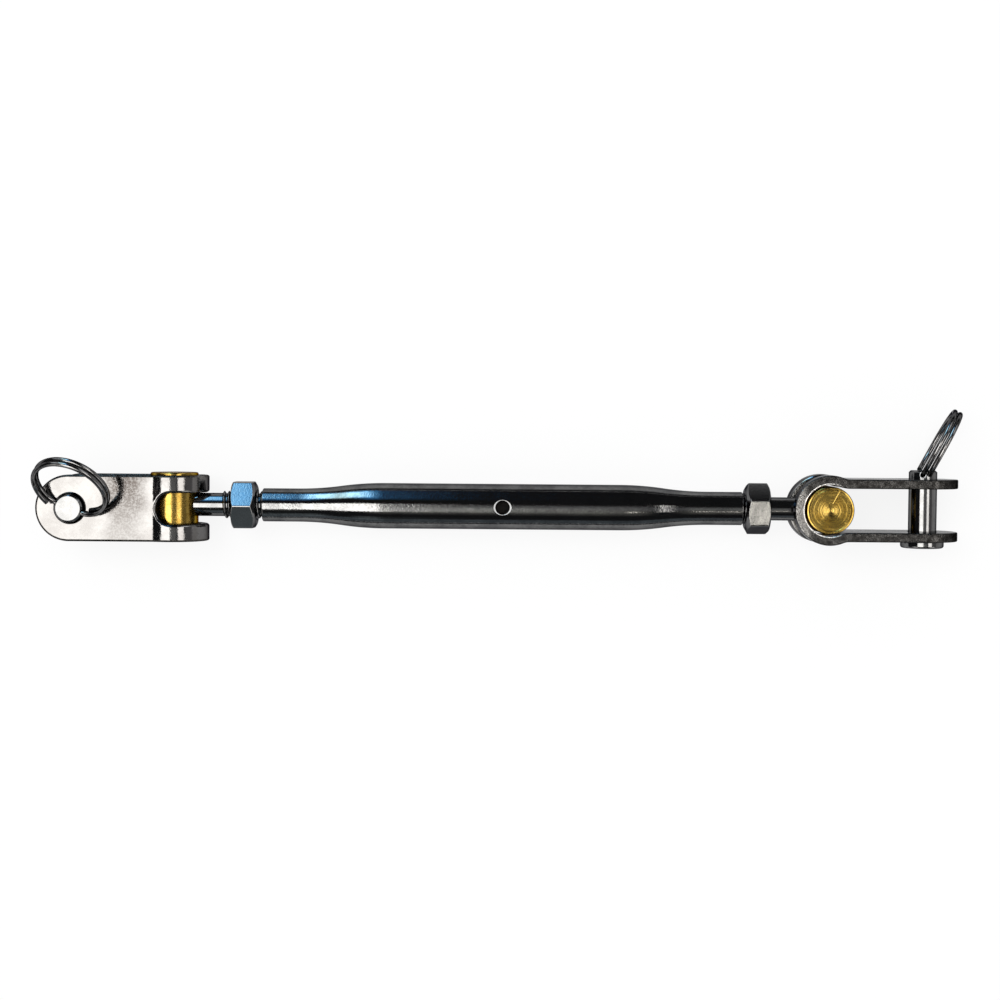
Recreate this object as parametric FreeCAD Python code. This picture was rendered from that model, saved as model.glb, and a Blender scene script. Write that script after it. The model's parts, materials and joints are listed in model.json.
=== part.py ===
import FreeCAD, Part
import math
import os

# Shroud adjuster: a closed, tubular turnbuckle with a strap toggle on each of its two studs.
# All sizes are in millimetres. X runs along the body and the origin is the centre of the
# hole for the tommy bar. The left toggle lies flat, and the right one is turned a quarter
# turn about X, so it stands on the edge of its strap.

# Body tube, swaged down to a neck at each end and tapped there
body_length = 103.0
body_diameter = 9.8
body_wall = 1.35
neck_diameter = 7.15
neck_length = 7.6
taper_length = 18.6
tapped_length = 18.0
bore_taper_length = 6.0
body_end_chamfer = 0.3
bar_hole_diameter = 3.1
bar_hole_chamfer = 0.5

# Thread, drawn as plain cylinders at its outer diameter
thread_diameter = 6.0
thread_clearance = 0.05
thread_chamfer = 0.45

# Studs: left-hand thread on the left, right-hand thread on the right
stud_length = 62.0
stud_plain_length = 11.4
stud_plain_diameter = 5.0
left_stud_reach = 19.07
right_stud_reach = 17.85

# Lock nuts
nut_across_flats = 9.8
nut_thickness = 5.2
nut_chamfer_angle = 30.0
nut_mouth_chamfer = 0.35
left_nut_gap = 1.3
right_nut_gap = 0.5
left_nut_angle = 30.0
right_nut_angle = 9.1

# Brass barrels that the studs are fixed in
barrel_diameter = 10.2
barrel_length = 13.8
barrel_chamfer = 0.35
barrel_seat_clearance = 0.02
stud_end_recess = 0.3

# Toggle straps, folded from flat strip round the barrels
strap_width = 14.1
strap_thickness = 2.0
strap_edge_break = 0.2
loop_clearance = 0.35
jaw_gap = 9.3
shoulder_bend_radius = 3.45
pin_distance = 21.0
strap_end_margin = 7.4
slot_width = 6.7
slot_overrun = 2.95
slot_wall_lean = 10.0
left_strap_shift = 0.72
right_strap_shift = 0.0

# Clevis pins
pin_diameter = 6.0
pin_clearance = 0.05
pin_end_play = 0.1
pin_projection = 1.9
pin_end_chamfer = 0.42
pin_head_diameter = 9.2
pin_head_thickness = 1.4
pin_head_round = 0.55
ring_hole_diameter = 1.55
ring_hole_height = 0.95
left_pin_angle = 159.3
right_pin_angle = -101.4

# Split rings of spring wire
ring_diameter = 16.8
ring_wire_diameter = 1.1
ring_strand_gap = 0.08
ring_end_angle = 34.0
ring_flat_radius = 16.0
ring_corner_radius = 4.5
ring_corner_angle = 40.0
left_ring_angle = 48.0
right_ring_angle = 62.3

x_axis = FreeCAD.Vector(1, 0, 0)
y_axis = FreeCAD.Vector(0, 1, 0)
z_axis = FreeCAD.Vector(0, 0, 1)
origin = FreeCAD.Vector(0, 0, 0)

body_radius = body_diameter / 2
neck_radius = neck_diameter / 2
half_body = body_length / 2
thread_radius = thread_diameter / 2
stud_thread_radius = thread_radius - thread_clearance
barrel_radius = barrel_diameter / 2
pin_radius = pin_diameter / 2
loop_inner_radius = barrel_radius + loop_clearance
loop_outer_radius = loop_inner_radius + strap_thickness
arm_inner = jaw_gap / 2
arm_outer = arm_inner + strap_thickness
strap_tip_x = pin_distance + strap_end_margin
shoulder_centre_distance = loop_outer_radius + shoulder_bend_radius
shoulder_drop = loop_outer_radius - arm_outer
shoulder_lean = math.acos(1 - shoulder_drop / shoulder_centre_distance)
shoulder_length = shoulder_centre_distance * math.sin(shoulder_lean)
ring_radius = (ring_diameter - ring_wire_diameter) / 2
ring_pitch = ring_wire_diameter + ring_strand_gap


def point(x, r):
    """A point of a profile that is turned about X."""
    return FreeCAD.Vector(x, 0, r)


def line(start, end):
    return Part.makeLine(start, end)


def arc_about(centre, radius, start_degrees, end_degrees):
    """An arc in the XZ plane, with its angles measured from +X towards +Z."""
    corners = []
    for degrees in (start_degrees, (start_degrees + end_degrees) / 2, end_degrees):
        angle = math.radians(degrees)
        corners.append(centre + FreeCAD.Vector(math.cos(angle), 0, math.sin(angle)) * radius)
    return Part.Arc(*corners).toShape()


def s_curve(start, end):
    """Two equal arcs that leave the start and reach the end along X."""
    run = end.x - start.x
    rise = end.z - start.z
    radius = (run * run + rise * rise) / (4 * abs(rise))
    half_turn = math.asin(abs(run) / 2 / radius) / 2
    step_x = math.copysign(radius * math.sin(half_turn), run)
    step_z = math.copysign(radius * (1 - math.cos(half_turn)), rise)
    middle = (start + end) * 0.5
    first_bend = start + FreeCAD.Vector(step_x, 0, step_z)
    second_bend = end - FreeCAD.Vector(step_x, 0, step_z)
    return [
        Part.Arc(start, first_bend, middle).toShape(),
        Part.Arc(middle, second_bend, end).toShape(),
    ]


def turned(edges, axis):
    """Closes the edges into a face and turns it once about an axis through the origin."""
    return Part.Face(Part.Wire(Part.__sortEdges__(edges))).revolve(origin, axis, 360)


def chain(points):
    return [line(start, end) for start, end in zip(points, points[1:])]


def make_body_tube():
    """The swaged tube: thick in the middle, necked and tapped at its ends."""
    taper_start = half_body - neck_length
    taper_end = taper_start - taper_length
    tapped_end = half_body - tapped_length
    inner_radius = body_radius - body_wall
    mouth_radius = thread_radius + body_end_chamfer / 2
    outer_neck = point(taper_start, neck_radius)
    outer_body = point(taper_end, body_radius)
    right_end = chain([
        point(0, inner_radius),
        point(tapped_end - bore_taper_length, inner_radius),
        point(tapped_end, thread_radius),
        point(half_body - body_end_chamfer / 2, thread_radius),
        point(half_body, mouth_radius),
        point(half_body, neck_radius - body_end_chamfer),
        point(half_body - body_end_chamfer, neck_radius),
        outer_neck,
    ])
    right_end += s_curve(outer_neck, outer_body)
    right_end += chain([outer_body, point(0, body_radius), point(0, inner_radius)])
    half = turned(right_end, x_axis)
    tube = half.fuse(half.mirror(origin, x_axis)).removeSplitter()
    return tube.cut(bar_hole_tool())


def bar_hole_tool():
    """The cross hole for the tommy bar, with a chamfer at both mouths."""
    radius = bar_hole_diameter / 2
    start = FreeCAD.Vector(0, 0, -body_radius)
    tool = Part.makeCylinder(radius, body_diameter, start, z_axis)
    for side in (1, -1):
        base = FreeCAD.Vector(0, 0, side * (body_radius - bar_hole_chamfer))
        mouth = Part.makeCone(radius, radius + 2 * bar_hole_chamfer, 2 * bar_hole_chamfer,
                              base, z_axis * side)
        tool = tool.fuse(mouth)
    return tool


def make_lock_nut(nut_angle):
    """A hexagon nut along +X from the origin, chamfered at both faces."""
    corner_radius = nut_across_flats / 2 / math.cos(math.pi / 6)
    corners = []
    for index in range(7):
        angle = math.radians(60 * index + 30 + nut_angle)
        corners.append(FreeCAD.Vector(0, -math.sin(angle), math.cos(angle)) * corner_radius)
    hexagon = Part.Face(Part.makePolygon(corners)).extrude(x_axis * nut_thickness)
    face_radius = nut_across_flats / 2 - nut_mouth_chamfer / 2
    fall = (corner_radius - face_radius) * math.tan(math.radians(nut_chamfer_angle))
    blank = turned(chain([
        point(0, 0),
        point(0, face_radius),
        point(fall, corner_radius),
        point(nut_thickness - fall, corner_radius),
        point(nut_thickness, face_radius),
        point(nut_thickness, 0),
        point(0, 0),
    ]), x_axis)
    bore = turned(chain([
        point(0, 0),
        point(0, thread_radius + nut_mouth_chamfer),
        point(nut_mouth_chamfer, thread_radius),
        point(nut_thickness - nut_mouth_chamfer, thread_radius),
        point(nut_thickness, thread_radius + nut_mouth_chamfer),
        point(nut_thickness, 0),
        point(0, 0),
    ]), x_axis)
    return hexagon.common(blank).cut(bore)


def make_stud():
    """A stud along -X from the barrel axis, with its plain shank fixed in the barrel."""
    shank_radius = stud_plain_diameter / 2
    shank_end = barrel_radius - stud_end_recess
    return turned(chain([
        point(shank_end, 0),
        point(shank_end, shank_radius),
        point(-stud_plain_length, shank_radius),
        point(-stud_plain_length - thread_chamfer, stud_thread_radius),
        point(-stud_length + thread_chamfer, stud_thread_radius),
        point(-stud_length, stud_thread_radius - thread_chamfer),
        point(-stud_length, 0),
        point(shank_end, 0),
    ]), x_axis)


def make_barrel():
    """The turned barrel along Y, cross-bored for the stud."""
    start = FreeCAD.Vector(0, -barrel_length / 2, 0)
    barrel = Part.makeCylinder(barrel_radius, barrel_length, start, y_axis)
    rims = [edge for edge in barrel.Edges if len(edge.Vertexes) == 1]
    barrel = barrel.makeChamfer(barrel_chamfer, rims)
    bore_radius = stud_plain_diameter / 2 + barrel_seat_clearance
    bore_start = FreeCAD.Vector(-barrel_diameter, 0, 0)
    return barrel.cut(Part.makeCylinder(bore_radius, 2 * barrel_diameter, bore_start, x_axis))


def strap_side(loop_radius, arm_height):
    """One face of the folded strip in the XZ plane, from the upper tip to the lower one."""
    shoulder_radius = shoulder_centre_distance - loop_radius
    lean_degrees = math.degrees(shoulder_lean)
    centre_height = arm_height + shoulder_radius
    upper_centre = FreeCAD.Vector(shoulder_length, 0, centre_height)
    lower_centre = FreeCAD.Vector(shoulder_length, 0, -centre_height)
    tip = strap_tip_x
    return [
        line(FreeCAD.Vector(tip, 0, arm_height), FreeCAD.Vector(shoulder_length, 0, arm_height)),
        arc_about(upper_centre, shoulder_radius, 270, 270 - lean_degrees),
        arc_about(origin, loop_radius, 90 - lean_degrees, 270 + lean_degrees),
        arc_about(lower_centre, shoulder_radius, 90 + lean_degrees, 90),
        line(FreeCAD.Vector(shoulder_length, 0, -arm_height), FreeCAD.Vector(tip, 0, -arm_height)),
    ]


def folded_strip():
    """The strip's section, drawn on edge and given the strap's width along Y."""
    outer = strap_side(loop_outer_radius, arm_outer)
    inner = strap_side(loop_inner_radius, arm_inner)
    tips = []
    for side in (1, -1):
        inner_tip = FreeCAD.Vector(strap_tip_x, 0, side * arm_inner)
        outer_tip = FreeCAD.Vector(strap_tip_x, 0, side * arm_outer)
        tips.append(line(inner_tip, outer_tip))
    section = Part.Face(Part.Wire(Part.__sortEdges__(outer + inner + tips)))
    section.translate(FreeCAD.Vector(0, -strap_width / 2, 0))
    return section.extrude(FreeCAD.Vector(0, strap_width, 0))


def strap_outline():
    """What both arms are cut to, seen along the pin: straight sides and full-round tips."""
    height = 2 * loop_outer_radius
    tip_centre_x = strap_tip_x - strap_width / 2
    start = FreeCAD.Vector(-height, -strap_width / 2, -height / 2)
    sides = Part.makeBox(height + tip_centre_x, strap_width, height, start)
    tip_base = FreeCAD.Vector(tip_centre_x, 0, -height / 2)
    return sides.fuse(Part.makeCylinder(strap_width / 2, height, tip_base, z_axis))


def slot_tool():
    """The slot that lets the stud swing a quarter turn to either side.

    It is punched before the strip is folded, so its ends lean with the strip's shoulders.
    """
    half_height = 1.5 * loop_outer_radius
    half_width = slot_width / 2
    lean = math.tan(math.radians(slot_wall_lean))
    end_centre_x = slot_overrun - half_width - (loop_outer_radius + arm_outer) / 2 * lean
    far_x = -2 * loop_outer_radius - half_height
    corners = [
        FreeCAD.Vector(end_centre_x, half_width, 0),
        FreeCAD.Vector(far_x, half_width, 0),
        FreeCAD.Vector(far_x, -half_width, 0),
        FreeCAD.Vector(end_centre_x, -half_width, 0),
    ]
    end_middle = FreeCAD.Vector(end_centre_x + half_width, 0, 0)
    outline = Part.Wire(chain(corners) + [Part.Arc(corners[3], end_middle, corners[0]).toShape()])
    upper = Part.Face(outline).extrude(FreeCAD.Vector(lean, 0, 1) * half_height)
    lower = Part.Face(outline).extrude(FreeCAD.Vector(lean, 0, -1) * half_height)
    return upper.fuse(lower)


def make_strap():
    """The toggle: a strip folded round the barrel, slotted for the stud, bored for the pin."""
    strap = folded_strip().common(strap_outline())
    strap = strap.makeChamfer(strap_edge_break, strap.Edges)
    strap = strap.cut(slot_tool())
    bore_base = FreeCAD.Vector(pin_distance, 0, -2 * arm_outer)
    bore = Part.makeCylinder(pin_radius + pin_clearance, 4 * arm_outer, bore_base, z_axis)
    return strap.cut(bore)


def make_clevis_pin():
    """The headed pin along Z: head below the lower arm, ring hole above the upper one."""
    head_top = -arm_outer - pin_end_play
    head_bottom = head_top - pin_head_thickness
    head_radius = pin_head_diameter / 2
    round_centre = FreeCAD.Vector(head_radius - pin_head_round, 0, head_bottom + pin_head_round)
    end_height = arm_outer + pin_projection
    edges = chain([
        FreeCAD.Vector(0, 0, head_bottom),
        FreeCAD.Vector(head_radius - pin_head_round, 0, head_bottom),
    ])
    edges.append(arc_about(round_centre, pin_head_round, -90, 0))
    edges += chain([
        FreeCAD.Vector(head_radius, 0, head_bottom + pin_head_round),
        FreeCAD.Vector(head_radius, 0, head_top),
        FreeCAD.Vector(pin_radius, 0, head_top),
        FreeCAD.Vector(pin_radius, 0, end_height - pin_end_chamfer),
        FreeCAD.Vector(pin_radius - pin_end_chamfer, 0, end_height),
        FreeCAD.Vector(0, 0, end_height),
        FreeCAD.Vector(0, 0, head_bottom),
    ])
    hole_start = FreeCAD.Vector(-pin_diameter, 0, arm_outer + ring_hole_height)
    hole = Part.makeCylinder(ring_hole_diameter / 2, 2 * pin_diameter, hole_start, x_axis)
    return turned(edges, z_axis).cut(hole)


def ring_bend(centre, radius, start_degrees, end_degrees, half_turn):
    """A bend of the wire, with its angles counted about its centre from the pin's hole.

    Each half turn lies in a plane of its own, tilted so that the wire climbs by half a pitch.
    """
    slope = ring_pitch / 4 / ring_radius * (-1) ** half_turn
    rise = half_turn * ring_pitch / 2
    corners = []
    for degrees in (start_degrees, (start_degrees + end_degrees) / 2, end_degrees):
        angle = math.radians(degrees)
        across = centre.x + radius * math.sin(angle)
        out = centre.y - radius * math.cos(angle)
        level = math.sqrt(1 - slope * slope) * across
        corners.append(FreeCAD.Vector(level, out, rise + slope * across))
    return Part.Arc(*corners).toShape()


def ring_path():
    """The wire's centre line, and how far out the middle of the strand in the hole lies."""
    ring_centre = FreeCAD.Vector(0, ring_radius, 0)
    corner_angle = math.radians(ring_corner_angle)
    inset = ring_radius - ring_corner_radius
    corner_x = inset * math.sin(corner_angle)
    corner_y = ring_radius - inset * math.cos(corner_angle)
    reach = ring_flat_radius - ring_corner_radius
    flat_angle = math.degrees(math.asin(corner_x / reach))
    flat_centre = FreeCAD.Vector(0, corner_y + math.sqrt(reach ** 2 - corner_x ** 2), 0)
    last_angle = 360 - ring_end_angle
    bends = [ring_bend(flat_centre, ring_flat_radius, -flat_angle, flat_angle, 0)]
    for side in (1, -1):
        corner_centre = FreeCAD.Vector(side * corner_x, corner_y, 0)
        bends += [
            ring_bend(corner_centre, ring_corner_radius, side * flat_angle,
                      side * ring_corner_angle, 0),
            ring_bend(ring_centre, ring_radius, side * ring_corner_angle, side * 90, 0),
            ring_bend(ring_centre, ring_radius, side * 90, side * 270, side),
            ring_bend(ring_centre, ring_radius, side * 270, side * last_angle, 2 * side),
        ]
    bow = ring_flat_radius - math.sqrt(ring_flat_radius ** 2 - pin_radius ** 2)
    hole_out = flat_centre.y - ring_flat_radius + bow / 2
    return Part.Wire(Part.__sortEdges__(bends)), hole_out


def make_split_ring():
    """Nearly two turns of wire, with the middle strand in the pin's hole along X."""
    path, hole_out = ring_path()
    first = path.OrderedEdges[0]
    section = Part.makeCircle(ring_wire_diameter / 2, first.valueAt(first.FirstParameter),
                              first.tangentAt(first.FirstParameter))
    ring = path.makePipeShell([Part.Wire([section])], True, False)
    ring.translate(FreeCAD.Vector(0, -hole_out, 0))
    return ring


def turn_about(axis, degrees):
    return FreeCAD.Placement(origin, FreeCAD.Rotation(axis, degrees))


def shift_by(x, y, z):
    return FreeCAD.Placement(FreeCAD.Vector(x, y, z), FreeCAD.Rotation())


def moved_copy(shape, placement):
    copy = shape.copy()
    copy.Placement = placement.multiply(copy.Placement)
    return copy


def toggle_parts(side, place, strap_shift, pin_angle, ring_angle):
    """The six pieces of one end, named for their side and put in place."""
    strap_place = place.multiply(shift_by(0, strap_shift, 0))
    pin_place = strap_place.multiply(shift_by(pin_distance, 0, 0)).multiply(
        turn_about(z_axis, pin_angle))
    hole_height = arm_outer + ring_hole_height
    ring_place_in_hole = pin_place.multiply(shift_by(0, 0, hole_height)).multiply(
        turn_about(x_axis, ring_angle))
    return {
        side + "_stud": moved_copy(make_stud(), place),
        side + "_barrel": moved_copy(make_barrel(), place),
        side + "_toggle_strap": moved_copy(make_strap(), strap_place),
        side + "_clevis_pin": moved_copy(make_clevis_pin(), pin_place),
        side + "_split_ring": moved_copy(make_split_ring(), ring_place_in_hole),
    }


def make_parts():
    left_place = shift_by(-half_body - left_stud_reach, 0, 0).multiply(turn_about(z_axis, 180))
    right_place = shift_by(half_body + right_stud_reach, 0, 0).multiply(turn_about(x_axis, -90))
    left_nut_x = -half_body - left_nut_gap - nut_thickness
    right_nut_x = half_body + right_nut_gap
    parts = {"body_tube": make_body_tube()}
    parts["left_locknut"] = moved_copy(make_lock_nut(left_nut_angle), shift_by(left_nut_x, 0, 0))
    parts["right_locknut"] = moved_copy(make_lock_nut(right_nut_angle), shift_by(right_nut_x, 0, 0))
    parts.update(toggle_parts("left", left_place, left_strap_shift, left_pin_angle,
                              left_ring_angle))
    parts.update(toggle_parts("right", right_place, right_strap_shift, right_pin_angle,
                              right_ring_angle))
    return parts


def write_parts(parts):
    os.makedirs("parts", exist_ok=True)
    for name, shape in parts.items():
        shape.exportStep(os.path.join("parts", name + ".step"))
        box = shape.BoundBox
        print(name, shape.isValid(), len(shape.Solids), round(shape.Volume, 2),
              [round(value, 2) for value in (box.XMin, box.YMin, box.ZMin, box.XMax, box.YMax, box.ZMax)])


write_parts(make_parts())
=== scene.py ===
"""A shroud adjuster: a closed turnbuckle with a toggle, a clevis pin and a split ring at each end.

Sizes are in millimetres and become metres when a mesh is made. X runs along the body. Where a
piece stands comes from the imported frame, and how it is shaped comes from the sizes of its class.
"""

import json
import logging
import math
from dataclasses import dataclass, replace
from enum import Enum

import bmesh
import bpy
from mathutils import Matrix, Vector
from mathutils.geometry import tessellate_polygon

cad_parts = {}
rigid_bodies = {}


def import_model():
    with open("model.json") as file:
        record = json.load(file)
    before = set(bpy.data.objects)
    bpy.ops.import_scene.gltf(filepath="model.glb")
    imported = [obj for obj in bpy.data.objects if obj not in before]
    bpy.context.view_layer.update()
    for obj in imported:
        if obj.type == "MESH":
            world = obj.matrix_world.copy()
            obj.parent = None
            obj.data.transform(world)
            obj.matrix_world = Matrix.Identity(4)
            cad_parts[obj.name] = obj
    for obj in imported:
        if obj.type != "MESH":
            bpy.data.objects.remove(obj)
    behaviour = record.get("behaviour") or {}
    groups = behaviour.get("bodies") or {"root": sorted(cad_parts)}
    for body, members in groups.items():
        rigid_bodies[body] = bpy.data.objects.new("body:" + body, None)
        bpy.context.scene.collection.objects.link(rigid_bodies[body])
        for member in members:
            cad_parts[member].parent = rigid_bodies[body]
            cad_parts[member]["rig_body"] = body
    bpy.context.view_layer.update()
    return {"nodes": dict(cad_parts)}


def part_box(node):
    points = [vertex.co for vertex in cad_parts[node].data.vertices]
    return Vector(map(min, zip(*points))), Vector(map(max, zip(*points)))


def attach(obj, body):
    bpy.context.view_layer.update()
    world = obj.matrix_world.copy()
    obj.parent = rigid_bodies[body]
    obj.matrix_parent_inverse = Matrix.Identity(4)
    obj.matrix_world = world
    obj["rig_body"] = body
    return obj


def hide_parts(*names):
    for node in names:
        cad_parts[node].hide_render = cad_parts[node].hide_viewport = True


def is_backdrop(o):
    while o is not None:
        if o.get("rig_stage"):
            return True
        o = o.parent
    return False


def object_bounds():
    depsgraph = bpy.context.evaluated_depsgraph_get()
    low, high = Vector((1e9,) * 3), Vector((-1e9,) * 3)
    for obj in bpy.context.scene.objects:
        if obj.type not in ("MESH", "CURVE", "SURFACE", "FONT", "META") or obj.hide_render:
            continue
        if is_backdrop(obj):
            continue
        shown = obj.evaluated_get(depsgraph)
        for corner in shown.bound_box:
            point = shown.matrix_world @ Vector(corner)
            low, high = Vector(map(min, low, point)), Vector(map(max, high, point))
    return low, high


log = logging.getLogger("adjuster")

MM = 0.001

SCRATCH_DULLING = 0.25
SCORE_DULLING = 0.35
SCORE_BRIGHTENING = 2
# The colour of the painted highlight along the rim of the strap's fold.
PAINTED_RIM_HIGHLIGHT = (0.95, 0.94, 0.92)
WALL_TOLERANCE = 2e-6
HERE = Matrix.Identity(4)

Point = tuple[float, float]
Colour = tuple[float, float, float]
Piece = bpy.types.Object
Tree = bpy.types.NodeTree
Socket = bpy.types.NodeSocket


class Axis(Enum):
    """The axis that a profile is turned about, as the turn that brings X onto it."""

    X = Matrix.Identity(4)
    Y = Matrix.Rotation(math.pi / 2, 4, "Z")
    Z = Matrix.Rotation(-math.pi / 2, 4, "Y")


class Hand(Enum):
    """The hand of a thread."""

    LEFT = True
    RIGHT = False


class Marks(Enum):
    """What the tool left on a surface."""

    DRAWN = "drawn"
    TURNED = "turned"
    SAWN = "sawn"


def moved(x: float, y: float = 0.0, z: float = 0.0) -> Matrix:
    """A move along the axes."""
    return Matrix.Translation((x, y, z))


def turned(degrees: float, axis: str) -> Matrix:
    """A turn about an axis."""
    return Matrix.Rotation(math.radians(degrees), 4, axis)


def arc(centre: Point, radius: float, start: float, end: float, steps: int) -> list[Point]:
    """Samples an arc, its ends included.

    Args:
        centre: The arc's centre.
        radius: The arc's radius.
        start: The first angle in degrees.
        end: The last angle in degrees.
        steps: How many chords stand for the arc.

    Returns:
        The points from the start to the end.
    """
    angles = [math.radians(start + (end - start) * i / steps) for i in range(steps + 1)]
    x, y = centre
    return [(x + radius * math.cos(a), y + radius * math.sin(a)) for a in angles]


def rounded(corners: list[tuple[float, float, float]], steps: int = 5) -> list[Point]:
    """Rounds the corners of an open outline.

    Args:
        corners: Each corner with the radius of its round, 0 for a plain point.
        steps: How many chords stand for a round.

    Returns:
        The outline's points.
    """
    points: list[Point] = []
    for index, (x, y, radius) in enumerate(corners):
        if not radius or index in (0, len(corners) - 1):
            points.append((x, y))
            continue
        corner = Vector((x, y))
        back = (Vector(corners[index - 1][:2]) - corner).normalized()
        ahead = (Vector(corners[index + 1][:2]) - corner).normalized()
        half = back.angle(ahead) / 2
        centre = corner + (back + ahead).normalized() * radius / math.sin(half)
        reach = radius / math.tan(half)
        first, last = corner + back * reach - centre, corner + ahead * reach - centre
        turn = math.atan2(first.x * last.y - first.y * last.x, first.dot(last))
        start = math.degrees(math.atan2(first.y, first.x))
        points += arc(centre[:], radius, start, start + math.degrees(turn), steps)
    return points


def s_bend(start: Point, end: Point, steps: int = 10) -> list[Point]:
    """Samples two equal arcs that leave the start and reach the end along X.

    Args:
        start: The first point.
        end: The last point.
        steps: How many chords stand for each arc.

    Returns:
        The points between the start and the end, both left out.
    """
    run, rise = end[0] - start[0], end[1] - start[1]
    radius = (run * run + rise * rise) / (4 * abs(rise))
    half_turn = math.asin(abs(run) / 2 / radius)
    way, side = math.copysign(1, run), math.copysign(1, rise)
    turns = [half_turn * i / steps for i in range(1, steps + 1)]
    first = [(way * radius * math.sin(t), side * radius * (1 - math.cos(t))) for t in turns]
    leaving = [(start[0] + x, start[1] + y) for x, y in first]
    arriving = [(end[0] - x, end[1] - y) for x, y in reversed(first[:-1])]
    return leaving + arriving


def new_object(name: str, bm: bmesh.types.BMesh, place: Matrix) -> Piece:
    """Makes a scene object at the origin from a mesh in millimetres.

    Args:
        name: The object's name.
        bm: The mesh, which is freed.
        place: Where the mesh goes, in millimetres.

    Returns:
        The new object.
    """
    bmesh.ops.remove_doubles(bm, verts=bm.verts, dist=1e-5)
    bmesh.ops.recalc_face_normals(bm, faces=bm.faces)
    bm.transform(Matrix.Scale(MM, 4) @ place)
    mesh = bpy.data.meshes.new(name)
    bm.to_mesh(mesh)
    bm.free()
    piece = bpy.data.objects.new(name, mesh)
    bpy.context.scene.collection.objects.link(piece)
    return piece


def bake(piece: Piece) -> None:
    """Turns a piece's modifiers into its own plain mesh.

    Args:
        piece: The object.
    """
    graph = bpy.context.evaluated_depsgraph_get()
    mesh = bpy.data.meshes.new_from_object(piece.evaluated_get(graph), depsgraph=graph)
    old = piece.data
    piece.modifiers.clear()
    piece.data = mesh
    bpy.data.meshes.remove(old)


def join_rings(bm: bmesh.types.BMesh, nears: list, fars: list) -> list[bmesh.types.BMFace]:
    """Joins rings of vertices with faces. A ring of one vertex is a pole.

    Args:
        bm: The mesh.
        nears: The first ring of each pair.
        fars: The second ring of each pair.

    Returns:
        The faces.
    """
    faces = []
    for near, far in zip(nears, fars):
        count = max(len(near), len(far))
        for i in range(count):
            j = (i + 1) % count
            corners = [near[i % len(near)], near[j % len(near)],
                       far[j % len(far)], far[i % len(far)]]
            faces.append(bm.faces.new(list(dict.fromkeys(corners))))
    return faces


def lathe(name: str, profile: list[Point], axis: Axis, place: Matrix,
          segments: int = 128) -> Piece:
    """Turns a profile about an axis.

    Args:
        name: The object's name.
        profile: Points as the distance along the axis and from it, closed unless its ends lie
            on the axis.
        axis: The axis that the profile is turned about.
        place: Where the turned shape goes, in millimetres.
        segments: How many faces go round.

    Returns:
        The turned object.
    """
    bm = bmesh.new()
    turns = [2 * math.pi * i / segments for i in range(segments)]
    rings = []
    for along, radius in profile:
        count = 1 if radius < 1e-6 else segments
        rings.append([bm.verts.new((along, radius * math.cos(t), radius * math.sin(t)))
                      for t in turns[:count]])
    on_axis = len(rings[0]) == 1 and len(rings[-1]) == 1
    join_rings(bm, rings, rings[1:] + ([] if on_axis else rings[:1]))
    return new_object(name, bm, place @ axis.value)


def cut(piece: Piece, tool: Piece) -> None:
    """Cuts a tool's shape out of a piece and deletes the tool.

    Args:
        piece: The piece that is cut.
        tool: The shape that is taken out of it.
    """
    modifier = piece.modifiers.new("cut", "BOOLEAN")
    modifier.operation = "DIFFERENCE"
    modifier.solver = "EXACT"
    modifier.object = tool
    bake(piece)
    bpy.data.objects.remove(tool)


@dataclass(frozen=True)
class Bore:
    """A round wall about an axis, whose faces get the normals of a true cylinder."""

    centre: Vector
    axis: Vector
    radius: float

    @classmethod
    def about(cls, place: Matrix, axis: Axis, radius: float) -> "Bore":
        """The round wall about an axis of a place."""
        return cls(place.translation, (place @ axis.value).to_3x3().col[0].copy(), radius)

    def normal(self, point: Vector) -> Vector:
        """The way from the axis to a point, square to the axis."""
        offset = point - self.centre * MM
        return offset - self.axis * offset.dot(self.axis)


def drill(piece: Piece, radius: float, depth: float, place: Matrix, segments: int) -> Bore:
    """Bores a round hole through a piece.

    Args:
        piece: The piece.
        radius: The hole's radius.
        depth: How far the drill reaches to both sides of the place's origin.
        place: A place whose X the hole runs along.
        segments: How many faces go round.

    Returns:
        The hole's wall.
    """
    section = [(-depth, 0), (-depth, radius), (depth, radius), (depth, 0)]
    cut(piece, lathe("drill", section, Axis.X, place, segments))
    return Bore.about(place, Axis.X, radius)


def smooth(piece: Piece, walls: tuple[Bore, ...] = (), sharp_degrees: float = 25) -> None:
    """Shades a piece smoothly, with flat faces kept flat and round walls kept round.

    Args:
        piece: The object to shade.
        walls: The round walls that a cut has divided.
        sharp_degrees: The angle past which an edge stays sharp.
    """
    piece.data.shade_smooth()
    piece.data.set_sharp_from_angle(angle=math.radians(sharp_degrees))
    modifier = piece.modifiers.new("normals", "WEIGHTED_NORMAL")
    modifier.keep_sharp = True
    bake(piece)
    mesh = piece.data
    normals = [corner.vector.copy() for corner in mesh.corner_normals]
    for face in mesh.polygons:
        for wall in walls:
            ways = [wall.normal(mesh.vertices[v].co) for v in face.vertices]
            if all(abs(way.length - wall.radius * MM) < WALL_TOLERANCE for way in ways):
                side = math.copysign(1, sum(way.dot(face.normal) for way in ways))
                for loop, way in zip(face.loop_indices, ways):
                    normals[loop] = way.normalized() * side
    mesh.normals_split_custom_set(normals)


def rgba(colour: "Colour | Socket") -> "tuple | Socket":
    """A colour as a node takes it."""
    return colour if isinstance(colour, Socket) else (*colour, 1)


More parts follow.
